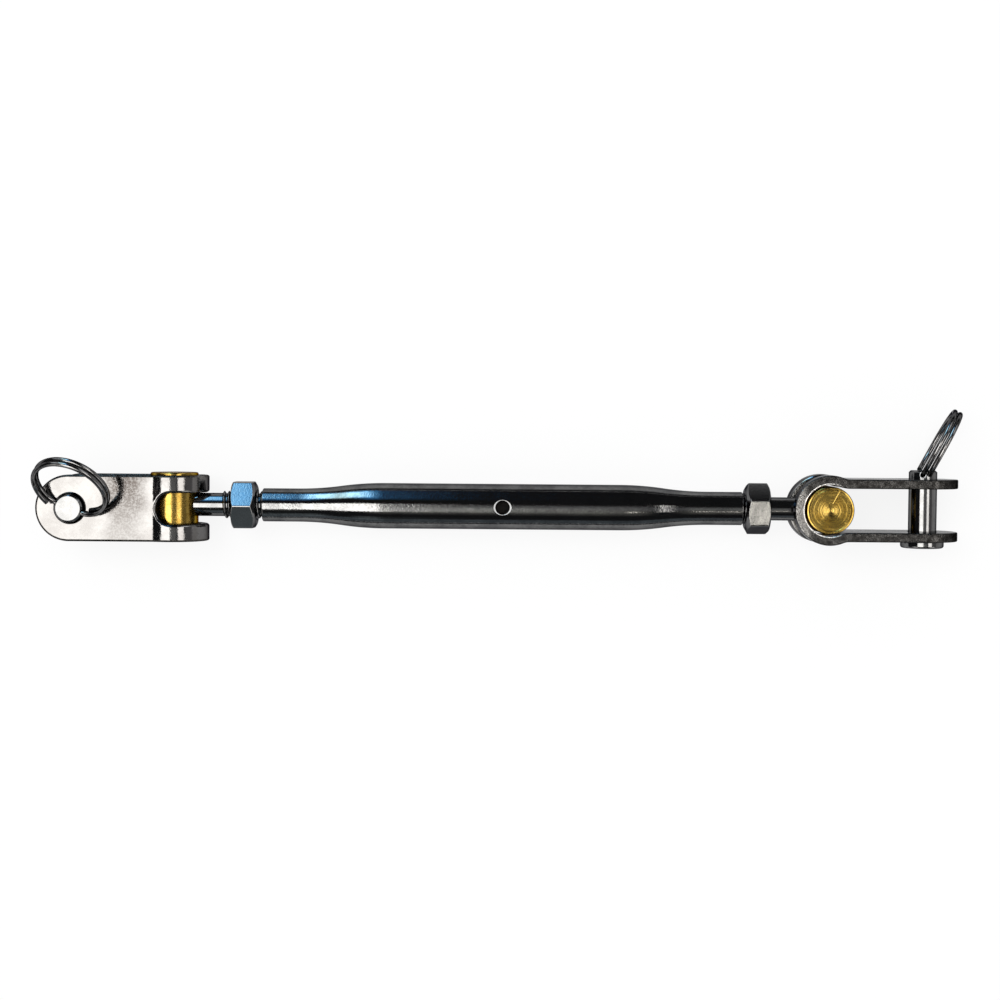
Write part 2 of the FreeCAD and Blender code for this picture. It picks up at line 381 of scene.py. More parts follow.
class Nodes:
    """Adds nodes to one tree and links them."""

    def __init__(self, tree: Tree) -> None:
        """Empties the tree."""
        self.tree = tree
        tree.nodes.clear()

    def add(self, kind: str, inputs: dict | None = None, **settings) -> bpy.types.Node:
        """Adds one node.

        Args:
            kind: The node's type.
            inputs: Values or output sockets for the node's inputs, by name or number.
            settings: The node's own settings.

        Returns:
            The new node.
        """
        node = self.tree.nodes.new(kind)
        for name, value in settings.items():
            setattr(node, name, value)
        for key, value in (inputs or {}).items():
            if isinstance(value, Socket):
                self.tree.links.new(value, node.inputs[key])
            else:
                node.inputs[key].default_value = value
        return node

    def out(self, kind: str, inputs: dict | None = None, output: int | str = 0,
            **settings) -> Socket:
        """Adds one node and gives one of its outputs, by name or number."""
        return self.add(kind, inputs, **settings).outputs[output]

    def math(self, operation: str, *values) -> Socket:
        """One step of arithmetic on values or sockets."""
        return self.out("ShaderNodeMath", dict(enumerate(values)), operation=operation)

    def product(self, first: Socket, *others) -> Socket:
        """The product of a socket and other sockets or values."""
        for other in others:
            first = self.math("MULTIPLY", first, other)
        return first

    def distance(self, value: Socket, middle: "Socket | float" = 0.0) -> Socket:
        """How far a value is from another."""
        return self.math("ABSOLUTE", self.math("SUBTRACT", value, middle))

    def vector_math(self, operation: str, *values) -> Socket:
        """One step of vector arithmetic on values or sockets."""
        output = "Value" if operation in ("DOT_PRODUCT", "LENGTH") else "Vector"
        return self.out("ShaderNodeVectorMath", dict(enumerate(values)), output,
                        operation=operation)

    def split(self, vector: Socket) -> "bpy.types.NodeOutputs":
        """A vector's parts, by "X", "Y" and "Z"."""
        return self.add("ShaderNodeSeparateXYZ", {"Vector": vector}).outputs

    def joined(self, **parts) -> Socket:
        """A vector from its parts, 0 for a part that isn't given."""
        return self.out("ShaderNodeCombineXYZ", parts)

    def noise(self, vector: Socket, scale: "Socket | float", detail: float = 2.0,
              roughness: float = 0.5) -> Socket:
        """Smooth noise about 0.5."""
        return self.out("ShaderNodeTexNoise", {
            "Vector": vector, "Scale": scale, "Detail": detail, "Roughness": roughness})

    def ramp(self, value: Socket, low: "Socket | float", high: "Socket | float",
             start: float = 0.0, end: float = 1.0) -> Socket:
        """Maps a value from one range smoothly onto another."""
        inputs = {"Value": value, "From Min": low, "From Max": high, "To Min": start, "To Max": end}
        return self.out("ShaderNodeMapRange", inputs, "Result", interpolation_type="SMOOTHSTEP")

    def effect(self, tree: Tree, **inputs) -> Socket:
        """Places a shared effect, whose inputs' names are given with _ for a space."""
        named = {name.replace("_", " "): value for name, value in inputs.items()}
        return self.out("ShaderNodeGroup", named, node_tree=tree)

    def mixed_colour(self, share: Socket, first: "Colour | Socket", second: Colour) -> Socket:
        """Mixes two colours by a value from 0 to 1."""
        return self.out("ShaderNodeMix", {"Factor": share, 6: rgba(first), 7: rgba(second)}, 2,
                        data_type="RGBA")

    def mixed_shader(self, share: Socket, first: Socket, second: Socket) -> Socket:
        """Mixes two shaders by a value from 0 to 1."""
        return self.out("ShaderNodeMixShader", {0: share, 1: first, 2: second})

    def glow(self, kind: str, colour: "Colour | Socket", strength: float = 1.0) -> Socket:
        """An even light, as an "Emission" or a "Background"."""
        return self.out(f"ShaderNode{kind}", {"Color": rgba(colour), "Strength": strength})


def new_material(name: str) -> tuple[bpy.types.Material, Nodes]:
    """Makes a material, with the builder of its empty tree."""
    material = bpy.data.materials.new(name)
    material.use_nodes = True
    return material, Nodes(material.node_tree)


class Group(Nodes):
    """A node group in the making, with the sockets that it is given."""

    KINDS = {float: "Float", int: "Int", bool: "Bool"}

    def __init__(self, name: str, inputs: dict, tree_kind: str = "ShaderNodeTree") -> None:
        """Starts the group.

        Args:
            name: The group's name.
            inputs: By name, each input's default value, or its kind where it has no default.
            tree_kind: The type of its tree.
        """
        super().__init__(bpy.data.node_groups.new(name, tree_kind))
        for label, default in inputs.items():
            kind = default if isinstance(default, str) else self.KINDS[type(default)]
            socket = self.tree.interface.new_socket(
                label, in_out="INPUT", socket_type=f"NodeSocket{kind}")
            if not isinstance(default, str):
                socket.default_value = default
        self.given = self.add("NodeGroupInput").outputs

    def finished(self, output: str, value: Socket, kind: str = "Float") -> Tree:
        """Puts out a value under a name and gives the finished tree."""
        self.tree.interface.new_socket(output, in_out="OUTPUT", socket_type=f"NodeSocket{kind}")
        self.add("NodeGroupOutput", {output: value})
        return self.tree


class SurfaceGroups:
    """The effects that several finishes share, each a shader node group."""

    def __init__(self) -> None:
        """Builds the groups."""
        self.mottling = self.build_mottling()
        self.unevenness = self.build_unevenness()
        self.tool_marks = self.build_tool_marks()
        self.scratches = self.build_scratches()
        self.dull_band = self.build_painted_reflection_band()

    @staticmethod
    def build_unevenness() -> Tree:
        """Rounded hills and hollows of one size, as a height in millimetres.

        Returns:
            The group.
        """
        nodes = Group("unevenness", {"Vector": "Vector", "Scale": 3.0, "Depth": 0.01})
        given = nodes.given
        hills = nodes.noise(given["Vector"], given["Scale"], detail=1.0, roughness=0.4)
        return nodes.finished("Height", nodes.product(hills, given["Depth"]))

    @staticmethod
    def build_painted_reflection_band() -> Tree:
        """A grainy band of painted reflection across X, 1 in its middle, ragged at its sides,
        fainter towards +Y.

        Returns:
            The group.
        """
        nodes = Group("dull_band", {
            "Vector": "Vector", "Middle": 0.0, "Half Width": 3.0, "Amount": 0.5})
        given = nodes.given
        sway_scale, sway, grain_scale, faintest = 0.16, 5.0, 2.6, 0.4
        parts = nodes.split(given["Vector"])
        off = nodes.math("SUBTRACT", nodes.noise(given["Vector"], sway_scale, detail=1.0), 0.5)
        moved_x = nodes.math("MULTIPLY_ADD", off, sway, parts["X"])
        share = nodes.math("DIVIDE", nodes.distance(moved_x, given["Middle"]), given["Half Width"])
        inside = nodes.ramp(share, 1.0, 0.4)
        sideways = nodes.ramp(parts["Y"], 7.0, -6.0, faintest)
        grainy = nodes.ramp(nodes.noise(given["Vector"], grain_scale), 0.35, 0.62, 0.55)
        return nodes.finished("Mask", nodes.product(inside, sideways, grainy, given["Amount"]))

    @staticmethod
    def build_mottling() -> Tree:
        """Soft blotches of two sizes, from 0 to 1.

        Returns:
            The group.
        """
        nodes = Group("mottling", {"Vector": "Vector", "Scale": 0.3, "Fine": 0.4})
        given = nodes.given
        fine_ratio = 9.0
        coarse = nodes.noise(given["Vector"], given["Scale"], detail=3.0, roughness=0.6)
        fine = nodes.noise(given["Vector"], nodes.product(given["Scale"], fine_ratio), detail=4.0,
                           roughness=0.7)
        mixed = nodes.out("ShaderNodeMix", {"Factor": given["Fine"], 2: coarse, 3: fine},
                          data_type="FLOAT")
        return nodes.finished("Value", nodes.ramp(mixed, 0.36, 0.64))

    @staticmethod
    def build_tool_marks() -> Tree:
        """Fine parallel lines across a distance, uneven in depth, with faint chatter.

        Returns:
            The group.
        """
        nodes = Group("tool_marks", {"Position": 0.0, "Vector": "Vector", "Spacing": 0.1})
        given = nodes.given
        chatter_scale, chatter_share = 2.5, 0.25
        steps = nodes.math("DIVIDE", given["Position"], given["Spacing"])
        lines = nodes.out("ShaderNodeTexNoise", {
            "W": steps, "Scale": 1.0, "Detail": 2.0, "Roughness": 0.7}, noise_dimensions="1D")
        chatter = nodes.noise(given["Vector"], chatter_scale)
        return nodes.finished("Height", nodes.math("MULTIPLY_ADD", chatter, chatter_share, lines))

    @staticmethod
    def build_scratches() -> Tree:
        """Hairline scratches in two directions and in patches, 1 on a scratch.

        Returns:
            The group.
        """
        nodes = Group("scratches", {"Vector": "Vector", "Scale": 1.0, "Amount": 0.5})
        given = nodes.given
        half_width, patch_scale = 0.004, 0.35
        masks = []
        for degrees, stretch in ((24, 0.05), (-52, 0.07)):
            turned_way = nodes.out("ShaderNodeMapping", {
                "Vector": given["Vector"], "Scale": (stretch, 1.0, 1.0),
                "Rotation": [math.radians(angle) for angle in (degrees, degrees / 2, degrees)]})
            lines = nodes.noise(turned_way, given["Scale"], detail=1.0)
            masks.append(nodes.ramp(nodes.distance(lines, 0.5), half_width, 0.0))
        shown = nodes.ramp(nodes.noise(given["Vector"], patch_scale), 0.5, 0.62)
        both = nodes.math("MAXIMUM", *masks)
        return nodes.finished("Mask", nodes.product(both, shown, given["Amount"]))


class GrownForms:
    """The forms that Geometry Nodes grow: a thread wound round a stud and a bent wire."""

    HELIX_STEPS = 40
    RUNOUTS = 90.0
    RIDGE_FOOT = 1.7
    RIDGE_CREST = 0.14

    def __init__(self) -> None:
        """Builds the trees."""
        self.thread = self.build_thread()
        self.wire = self.build_wire()

    @staticmethod
    def sweep(nodes: Group, curve: Socket, section: Socket) -> Socket:
        """Sweeps a section along a curve and closes its ends."""
        return nodes.out("GeometryNodeCurveToMesh", {
            "Curve": curve, "Profile Curve": section, "Fill Caps": True})

    @staticmethod
    def dressed(nodes: Group, geometry: Socket) -> Tree:
        """Makes a geometry real, dresses it and finishes the tree.

        Args:
            nodes: The tree's builder.
            geometry: The geometry.

        Returns:
            The finished tree.
        """
        real = nodes.out("GeometryNodeRealizeInstances", {"Geometry": geometry})
        clad = nodes.out("GeometryNodeSetMaterial", {
            "Geometry": real, "Material": nodes.given["Material"]})
        return nodes.finished("Geometry", clad, "Geometry")

    def build_thread(self) -> Tree:
        """A ridge wound along a helix round the stud that is given, which fades at both ends.

        Returns:
            The tree.
        """
        nodes = Group("wound_thread", {
            "Geometry": "Geometry", "Start": 0.0, "Length": 0.05, "Pitch": 0.001,
            "Root Radius": 0.0024, "Crest Radius": 0.003, "Left Handed": False,
            "Material": "Material"}, "GeometryNodeTree")
        given = nodes.given
        helix = nodes.out("GeometryNodeCurveSpiral", {
            "Resolution": self.HELIX_STEPS, "Height": given["Length"],
            "Rotations": nodes.math("DIVIDE", given["Length"], given["Pitch"]),
            "Start Radius": given["Root Radius"], "End Radius": given["Root Radius"],
            "Reverse": given["Left Handed"]})
        upright = nodes.out("GeometryNodeSetCurveNormal", {"Curve": helix}, mode="Z_UP")
        share = nodes.out("GeometryNodeSplineParameter", output="Factor")
        nearer_end = nodes.math("MINIMUM", share, nodes.math("SUBTRACT", 1.0, share))
        height = nodes.math("MINIMUM", nodes.product(nearer_end, self.RUNOUTS), 1.0)
        faded = nodes.out("GeometryNodeSetCurveRadius", {"Curve": upright, "Radius": height})
        depth = nodes.math("SUBTRACT", given["Crest Radius"], given["Root Radius"])
        ridge = nodes.out("GeometryNodeCurvePrimitiveQuadrilateral", {
            "Height": nodes.product(depth, 2.0), "Offset": 0.0,
            "Bottom Width": nodes.product(given["Pitch"], self.RIDGE_FOOT),
            "Top Width": nodes.product(given["Pitch"], self.RIDGE_CREST)}, mode="TRAPEZOID")
        outward = nodes.math("SUBTRACT", math.pi / 2, nodes.product(given["Left Handed"], math.pi))
        section = nodes.out("GeometryNodeTransform", {
            "Geometry": ridge, "Rotation": nodes.joined(Z=outward)})
        laid = nodes.out("GeometryNodeTransform", {
            "Geometry": self.sweep(nodes, faded, section),
            "Translation": nodes.joined(X=given["Start"]), "Rotation": (0, math.pi / 2, 0)})
        both = nodes.add("GeometryNodeJoinGeometry")
        for geometry in (laid, given["Geometry"]):
            nodes.tree.links.new(geometry, both.inputs[0])
        return self.dressed(nodes, both.outputs[0])

    def build_wire(self) -> Tree:
        """A round section swept along the edges that are given.

        Returns:
            The tree.
        """
        nodes = Group("bent_wire", {
            "Geometry": "Geometry", "Wire Radius": 0.00055, "Sides": 20,
            "Material": "Material"}, "GeometryNodeTree")
        line = nodes.out("GeometryNodeMeshToCurve", {"Mesh": nodes.given["Geometry"]})
        section = nodes.out("GeometryNodeCurvePrimitiveCircle", {
            "Resolution": nodes.given["Sides"], "Radius": nodes.given["Wire Radius"]})
        return self.dressed(nodes, self.sweep(nodes, line, section))


@dataclass(frozen=True)
class Finish:
    """A metal surface: its two tones, its gloss and the marks of its making.

    Attributes:
        name: The finish's name.
        slot: The record's material slot; not used.
        light: The colour of the clean metal.
        dark: The colour of its blotches.
        roughness: The gloss of the clean metal.
        dulled: The gloss of its blotches.
        blotch_scale: The blotches for each millimetre.
        edge_colour: What the metal mirrors at a glancing angle.
        metallic: 1 for bare metal, less for the matt surfaces of painted shade and painted
            highlight.
        marks: What the tool left.
        spacing: The marks' spacing in millimetres.
        depth: The marks' depth in millimetres.
        grain: How many fine hills each millimetre has.
        grain_depth: The fine hills' height in millimetres.
        waves: How many broad hills each millimetre has.
        wave_depth: The broad hills' height in millimetres.
        scratches: How strong the scratches are.
        band_middle: Where along X a band of painted reflection lies, in millimetres.
        band_half_width: Half the painted band's width in millimetres.
        band_amount: How strongly the band is painted, from 0 to 1.
        band_colour: The band's colour: darker for painted shade, lighter for a painted highlight.
        score: A scored line's ends on the piece's own X and Z, in millimetres, if it has one.
        rim_radius: How far from the piece's own Y its painted highlight along a rim lies, in
        millimetres, or 0 for none.
    """

    name: str
    slot: str
    light: Colour
    dark: Colour
    roughness: float
    dulled: float
    blotch_scale: float = 0.3
    edge_colour: Colour = (0.15, 0.15, 0.16)
    metallic: float = 1.0
    marks: Marks = Marks.DRAWN
    spacing: float = 0.12
    depth: float = 0.001
    grain: float = 3.0
    grain_depth: float = 0.004
    waves: float = 0.14
    wave_depth: float = 0.0
    scratches: float = 0.3
    band_middle: float = 0.0
    band_half_width: float = 3.0
    band_amount: float = 0.0
    band_colour: Colour = (0.12, 0.10, 0.09)
    score: tuple[Point, Point] | None = None
    rim_radius: float = 0.0

    def material(self, groups: SurfaceGroups, place: Matrix) -> bpy.types.Material:
        """Builds the finish for a piece.

        Args:
            groups: The shared effects.
            place: Where the piece stands, so that the marks follow its own axes.

        Returns:
            The material.
        """
        material, nodes = new_material(self.name)
        back = place.inverted()
        local = nodes.out("ShaderNodeMapping", {
            "Vector": nodes.out("ShaderNodeTexCoord", output="Object"), "Scale": (1 / MM,) * 3,
            "Rotation": back.to_euler(), "Location": back.translation})
        blotches = nodes.effect(groups.mottling, Vector=local, Scale=self.blotch_scale)
        scratched = nodes.effect(groups.scratches, Vector=local, Amount=self.scratches)
        marks = nodes.effect(groups.tool_marks, Vector=local, Spacing=self.spacing,
                             Position=self.mark_position(nodes, local))
        grain = nodes.effect(groups.unevenness, Vector=local, Scale=self.grain,
                             Depth=self.grain_depth)
        waves = nodes.effect(groups.unevenness, Vector=local, Scale=self.waves,
                             Depth=self.wave_depth)
        colour = nodes.mixed_colour(blotches, self.light, self.dark)
        rough = nodes.ramp(blotches, 0.0, 1.0, self.roughness, self.dulled)
        rough = nodes.math("MULTIPLY_ADD", scratched, SCRATCH_DULLING, rough)
        # Painted reflection: the band's colour is painted shade where darker, a painted highlight
        # where lighter.
        if self.band_amount:
            band = nodes.effect(groups.dull_band, Vector=local, Middle=self.band_middle,
                                Half_Width=self.band_half_width, Amount=self.band_amount)
            colour = nodes.mixed_colour(band, colour, self.band_colour)
        if self.score:
            scored = self.score_mask(nodes, local)
            bright = tuple(min(1.0, SCORE_BRIGHTENING * share) for share in self.light)
            colour = nodes.mixed_colour(scored, colour, bright)
            rough = nodes.math("MULTIPLY_ADD", scored, SCORE_DULLING, rough)
        # Painted highlight along the rim of the fold.
        if self.rim_radius:
            colour = nodes.mixed_colour(self.rim_highlight_mask(nodes, local), colour, PAINTED_RIM_HIGHLIGHT)
        height = nodes.product(nodes.math("SUBTRACT", marks, scratched), self.depth)
        height = nodes.math("ADD", height, nodes.math("ADD", grain, waves))
        bump = nodes.out("ShaderNodeBump", {"Height": height, "Distance": MM, "Strength": 1.0})
        shader = nodes.out("ShaderNodeBsdfPrincipled", {
            "Base Color": colour, "Roughness": rough, "Metallic": self.metallic,
            "Specular Tint": rgba(self.edge_colour), "Normal": bump})
        nodes.add("ShaderNodeOutputMaterial", {"Surface": shader})
        return material

    def score_mask(self, nodes: Nodes, local: Socket) -> Socket:
        """1 on the scored line, which thins out at its ends.

        Args:
            nodes: The tree that the mask is built in.
            local: The point on the piece's own axes, in millimetres.

        Returns:
            The mask.
        """
        full_share, width, sharp_width = 0.8, 0.11, 0.05
        start, end = (Vector((x, 0, z)) for x, z in self.score)
        way, half = (end - start).normalized(), (end - start).length / 2
        from_middle = nodes.vector_math("SUBTRACT", local, ((start + end) / 2)[:])
        along = nodes.vector_math("DOT_PRODUCT", from_middle, way[:])
        off = nodes.vector_math("DOT_PRODUCT", from_middle, (-way.z, 0.0, way.x))
        inside = nodes.ramp(nodes.distance(along), half, half * full_share)
        return nodes.product(inside, nodes.ramp(nodes.distance(off), width, sharp_width))

    def rim_highlight_mask(self, nodes: Nodes, local: Socket) -> Socket:
        """1 on a painted highlight along the rim of a fold round the piece's own Y, on its outer
        faces only.

        Args:
            nodes: The tree that the mask is built in.
            local: The point on the piece's own axes, in millimetres.

        Returns:
            The mask.
        """
        fold_end, width, sharp_width, face_start, face_end = 3.0, 0.16, 0.09, 6.2, 6.6
        parts = nodes.split(local)
        off = nodes.distance(self.reach_from_y(nodes, parts), self.rim_radius)
        fold = nodes.ramp(parts["X"], fold_end, 0.0)
        outer = nodes.ramp(nodes.distance(parts["Y"]), face_start, face_end)
        return nodes.product(fold, outer, nodes.ramp(off, width, sharp_width))

    def mark_position(self, nodes: Nodes, local: Socket) -> Socket:
        """The distance that the tool's marks are counted along, in millimetres.

        Args:
            nodes: The tree that the mask is built in.
            local: The point on the piece's own axes, in millimetres.

        Returns:
            The distance.
        """
        side_feed = 0.3
        parts = nodes.split(local)
        if self.marks is Marks.DRAWN:
            return parts["Y"]
        if self.marks is Marks.SAWN:
            return nodes.math("ADD", parts["X"], parts["Z"])
        reach = self.reach_from_y(nodes, parts)
        return nodes.math("MULTIPLY_ADD", parts["Y"], side_feed, reach)

    @staticmethod
    def reach_from_y(nodes: Nodes, parts: "bpy.types.NodeOutputs") -> Socket:
        """How far a point is from the piece's own Y."""
        return nodes.vector_math("LENGTH", nodes.joined(X=parts["X"], Z=parts["Z"]))


BODY_STEEL = Finish(
    "body_steel", "body_steel", (0.235, 0.235, 0.233), (0.138, 0.138, 0.140), 0.06, 0.12,
    blotch_scale=0.25, edge_colour=(0.33, 0.33, 0.34), spacing=0.16, depth=0.0004, grain=4.0,
    grain_depth=0.011)
# Painted highlight on the cross hole's widened mouth: a pale, nearly matt colour that shows bright
# all round.
HOLE_RIM_HIGHLIGHT = Finish(
    "hole_rim_painted_highlight", "body_steel", (0.88, 0.88, 0.87), (0.74, 0.74, 0.73), 0.40, 0.52,
    metallic=0.15, edge_colour=(0.8, 0.8, 0.8), marks=Marks.TURNED, spacing=0.1, depth=0.002,
    scratches=0.0)
# Painted shade: the black, matt plug in the bore that makes the cross hole look dark.
BORE_SHADE_BLACK = Finish(
    "painted_bore_shade", "body_steel", (0.004, 0.004, 0.0045), (0.010, 0.009, 0.008), 0.35, 0.60,
    metallic=0.0, edge_colour=(0.05, 0.05, 0.05), blotch_scale=0.8, depth=0.0, grain=1.5,
    grain_depth=0.05, scratches=0.0)
STUD_STEEL = Finish(
    "stud_steel", "stud_steel", (0.21, 0.21, 0.21), (0.155, 0.155, 0.157), 0.07, 0.14,
    depth=0.0006)
NUT_STEEL = Finish(
    "nut_steel", "nut_steel", (0.23, 0.23, 0.23), (0.20, 0.20, 0.203), 0.09, 0.11,
    blotch_scale=0.5, spacing=0.14, depth=0.0008, grain=4.0, grain_depth=0.006)
BARREL_BRASS = Finish(
    "barrel_brass", "barrel_brass", (0.43, 0.295, 0.075), (0.27, 0.165, 0.032), 0.15, 0.25,
    blotch_scale=0.4, edge_colour=(0.15, 0.09, 0.03), marks=Marks.TURNED, spacing=0.38,
    depth=0.036)
SCORED_BRASS = replace(BARREL_BRASS, name="barrel_brass_scored", score=((0.33, 1.3), (1.97, 4.3)))
# The arm's face has a grainy band of painted shade (band_colour), a darker reflection painted into
# its colour.
STRAP_FACE = Finish(
    "strap_face", "strap_steel", (0.207, 0.203, 0.201), (0.172, 0.166, 0.163), 0.07, 0.14,
    blotch_scale=0.20, spacing=0.10, depth=0.0005, grain_depth=0.012, wave_depth=0.12,
    band_middle=9.5, band_half_width=5.8, band_amount=1.0, band_colour=(0.055, 0.048, 0.044))
# On the sawn edge, the lighter band is a painted highlight across the back of the loop, and the rim
# colour a painted highlight along the loop's inner edge.
STRAP_EDGE = Finish(
    "strap_sawn_edge", "strap_steel", (0.070, 0.068, 0.066), (0.017, 0.016, 0.015), 0.22, 0.40,
    blotch_scale=1.2, marks=Marks.SAWN, spacing=0.16, depth=0.02, grain=3.2, grain_depth=0.09,
    scratches=0.0, band_middle=-6.4, band_half_width=2.4, band_amount=0.8,
    band_colour=(0.30, 0.29, 0.28), rim_radius=5.63)
PIN_STEEL = Finish(
    "pin_steel", "pin_steel", (0.22, 0.22, 0.22), (0.165, 0.165, 0.165), 0.06, 0.13,
    marks=Marks.TURNED, spacing=0.15, depth=0.0008)
RING_WIRE = Finish(
    "ring_wire", "ring_wire", (0.235, 0.232, 0.232), (0.130, 0.127, 0.127), 0.08, 0.15,
    blotch_scale=0.6, spacing=0.1)


@dataclass(frozen=True)
class Shop:
    """What every piece is made with: the shared effects, the grown forms and the CAD's nodes."""

    groups: SurfaceGroups
    forms: GrownForms
    nodes: dict

    def finish(self, piece: Piece, finishes: tuple[Finish, ...], place: Matrix,
               node: str = "") -> None:
        """Dresses a piece, if it isn't dressed yet, and puts it on its body.

        Args:
            piece: The finished mesh.
            finishes: The piece's finishes, in the order of its material slots.
            place: Where the piece's own axes stand, in millimetres.
            node: The CAD node that it stands for, or none for a piece inside the body.
        """
        if not piece.data.materials:
            for finish in finishes:
                piece.data.materials.append(finish.material(self.groups, place))
        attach(piece, self.nodes[node]["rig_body"] if node else "body")
        if node:
            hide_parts(node)
        log.info("%s: %d faces", piece.name, len(piece.data.polygons))


def middle_of(node: str) -> Vector:
    """The middle of a CAD node's box, in millimetres."""
    low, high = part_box(node)
    return (low + high) / 2 / MM


@dataclass
class Body:
    """The closed body: a tube swaged down to a neck at each end, with a hole for the tommy bar.

    The section of the black plug of painted shade in its bore is given as distances along X and
    shares of its full radius.
    """

    length: float = 103.0
    diameter: float = 9.8
    wall: float = 1.35
    neck_diameter: float = 7.15
    neck_length: float = 7.6
    taper_length: float = 18.6
    tapped_length: float = 18.0
    bore_taper: float = 6.0
    thread_radius: float = 3.0
    mouth_round: float = 0.25
    thread_mouth_round: float = 0.12
    hole_diameter: float = 3.1
    hole_chamfer: float = 0.35
    rim_slopes: Point = (0.5, 0.9)
    rim_margin: float = 0.07
    shade_plug_section: tuple[Point, ...] = (
        (-6.6, 0.0), (-6.0, 0.6), (-5.2, 1.0), (4.4, 1.0), (5.1, 0.6), (5.6, 0.0))
    shade_plug_play: float = 0.03
    shade_plug_round: float = 0.8

    def __post_init__(self) -> None:
        """Works out the radii."""
        self.outside = self.diameter / 2
        self.bore = self.outside - self.wall
        self.hole = self.hole_diameter / 2

    def half_profile(self) -> list[Point]:
        """The right half of the tube's section, from its bore round the mouth to its outside.

        Returns:
            The section's points, as the distance along X and from it.
        """
        half, neck = self.length / 2, self.neck_diameter / 2
        tapped = half - self.tapped_length
        neck_start = (half - self.neck_length, neck)
        full_start = (neck_start[0] - self.taper_length, self.outside)
        points = rounded([
            (0, self.bore, 0), (tapped - self.bore_taper, self.bore, 0),
            (tapped, self.thread_radius, 0), (half, self.thread_radius, self.thread_mouth_round),
            (half, neck, self.mouth_round), (*neck_start, 0)])
        return points + s_bend(neck_start, full_start) + [full_start, (0, self.outside)]

    def bar_hole_profile(self) -> list[Point]:
        """The cross hole's section, widened at both mouths.

        Returns:
            The section's points, as the distance along the hole and from its middle.
        """
        mouth, beyond = self.outside - self.hole_chamfer, self.diameter
        half = [(mouth, self.hole), (beyond, self.hole + beyond - mouth), (beyond, 0)]
        return [(-x, r) for x, r in reversed(half)] + half

    def build(self, shop: Shop) -> None:
        """Makes the tube.

        Args:
            shop: What every piece is made with.
        """
        right = self.half_profile()
        left = [(-x, r) for x, r in reversed(right)][1:-1]
        tube = lathe("body_tube_polished", right + left, Axis.X, HERE, segments=192)
        cut(tube, lathe("bar_hole", self.bar_hole_profile(), Axis.Z, HERE, segments=96))
        smooth(tube, (Bore.about(HERE, Axis.X, self.outside), Bore.about(HERE, Axis.X, self.bore),
                      Bore.about(HERE, Axis.Z, self.hole)))
        # The faces of the cross hole's widened mouth get the painted highlight.
        for face in tube.data.polygons:
            face.material_index = int(self.is_rim(face))
        shop.finish(tube, (BODY_STEEL, HOLE_RIM_HIGHLIGHT), Axis.Z.value, "body_tube")
        self.build_shade_plug(shop)

    def build_shade_plug(self, shop: Shop) -> None:
        """Fills the bore between the studs' ends with a black plug of painted shade, which the
        cross hole shows.

        Args:
            shop: What every piece is made with.
        """
        radius = self.bore - self.shade_plug_play
        corners = [(x, radius * share, self.shade_plug_round) for x, share in self.shade_plug_section]
        shade_plug = lathe("bore_shade_plug", rounded(corners), Axis.X, HERE, segments=64)
        smooth(shade_plug, sharp_degrees=60)
        shop.finish(shade_plug, (BORE_SHADE_BLACK,), Axis.Z.value)

    def is_rim(self, face: bpy.types.MeshPolygon) -> bool:
        """Whether a face belongs to the widened mouth of the cross hole.

        Args:
            face: The face.

        Returns:
            True for a face of the rim.
        """
        reach = math.hypot(face.center.x, face.center.y) / MM
        leans = self.rim_slopes[0] < abs(face.normal.z) < self.rim_slopes[1]
        return leans and reach < self.hole + self.hole_chamfer + self.rim_margin


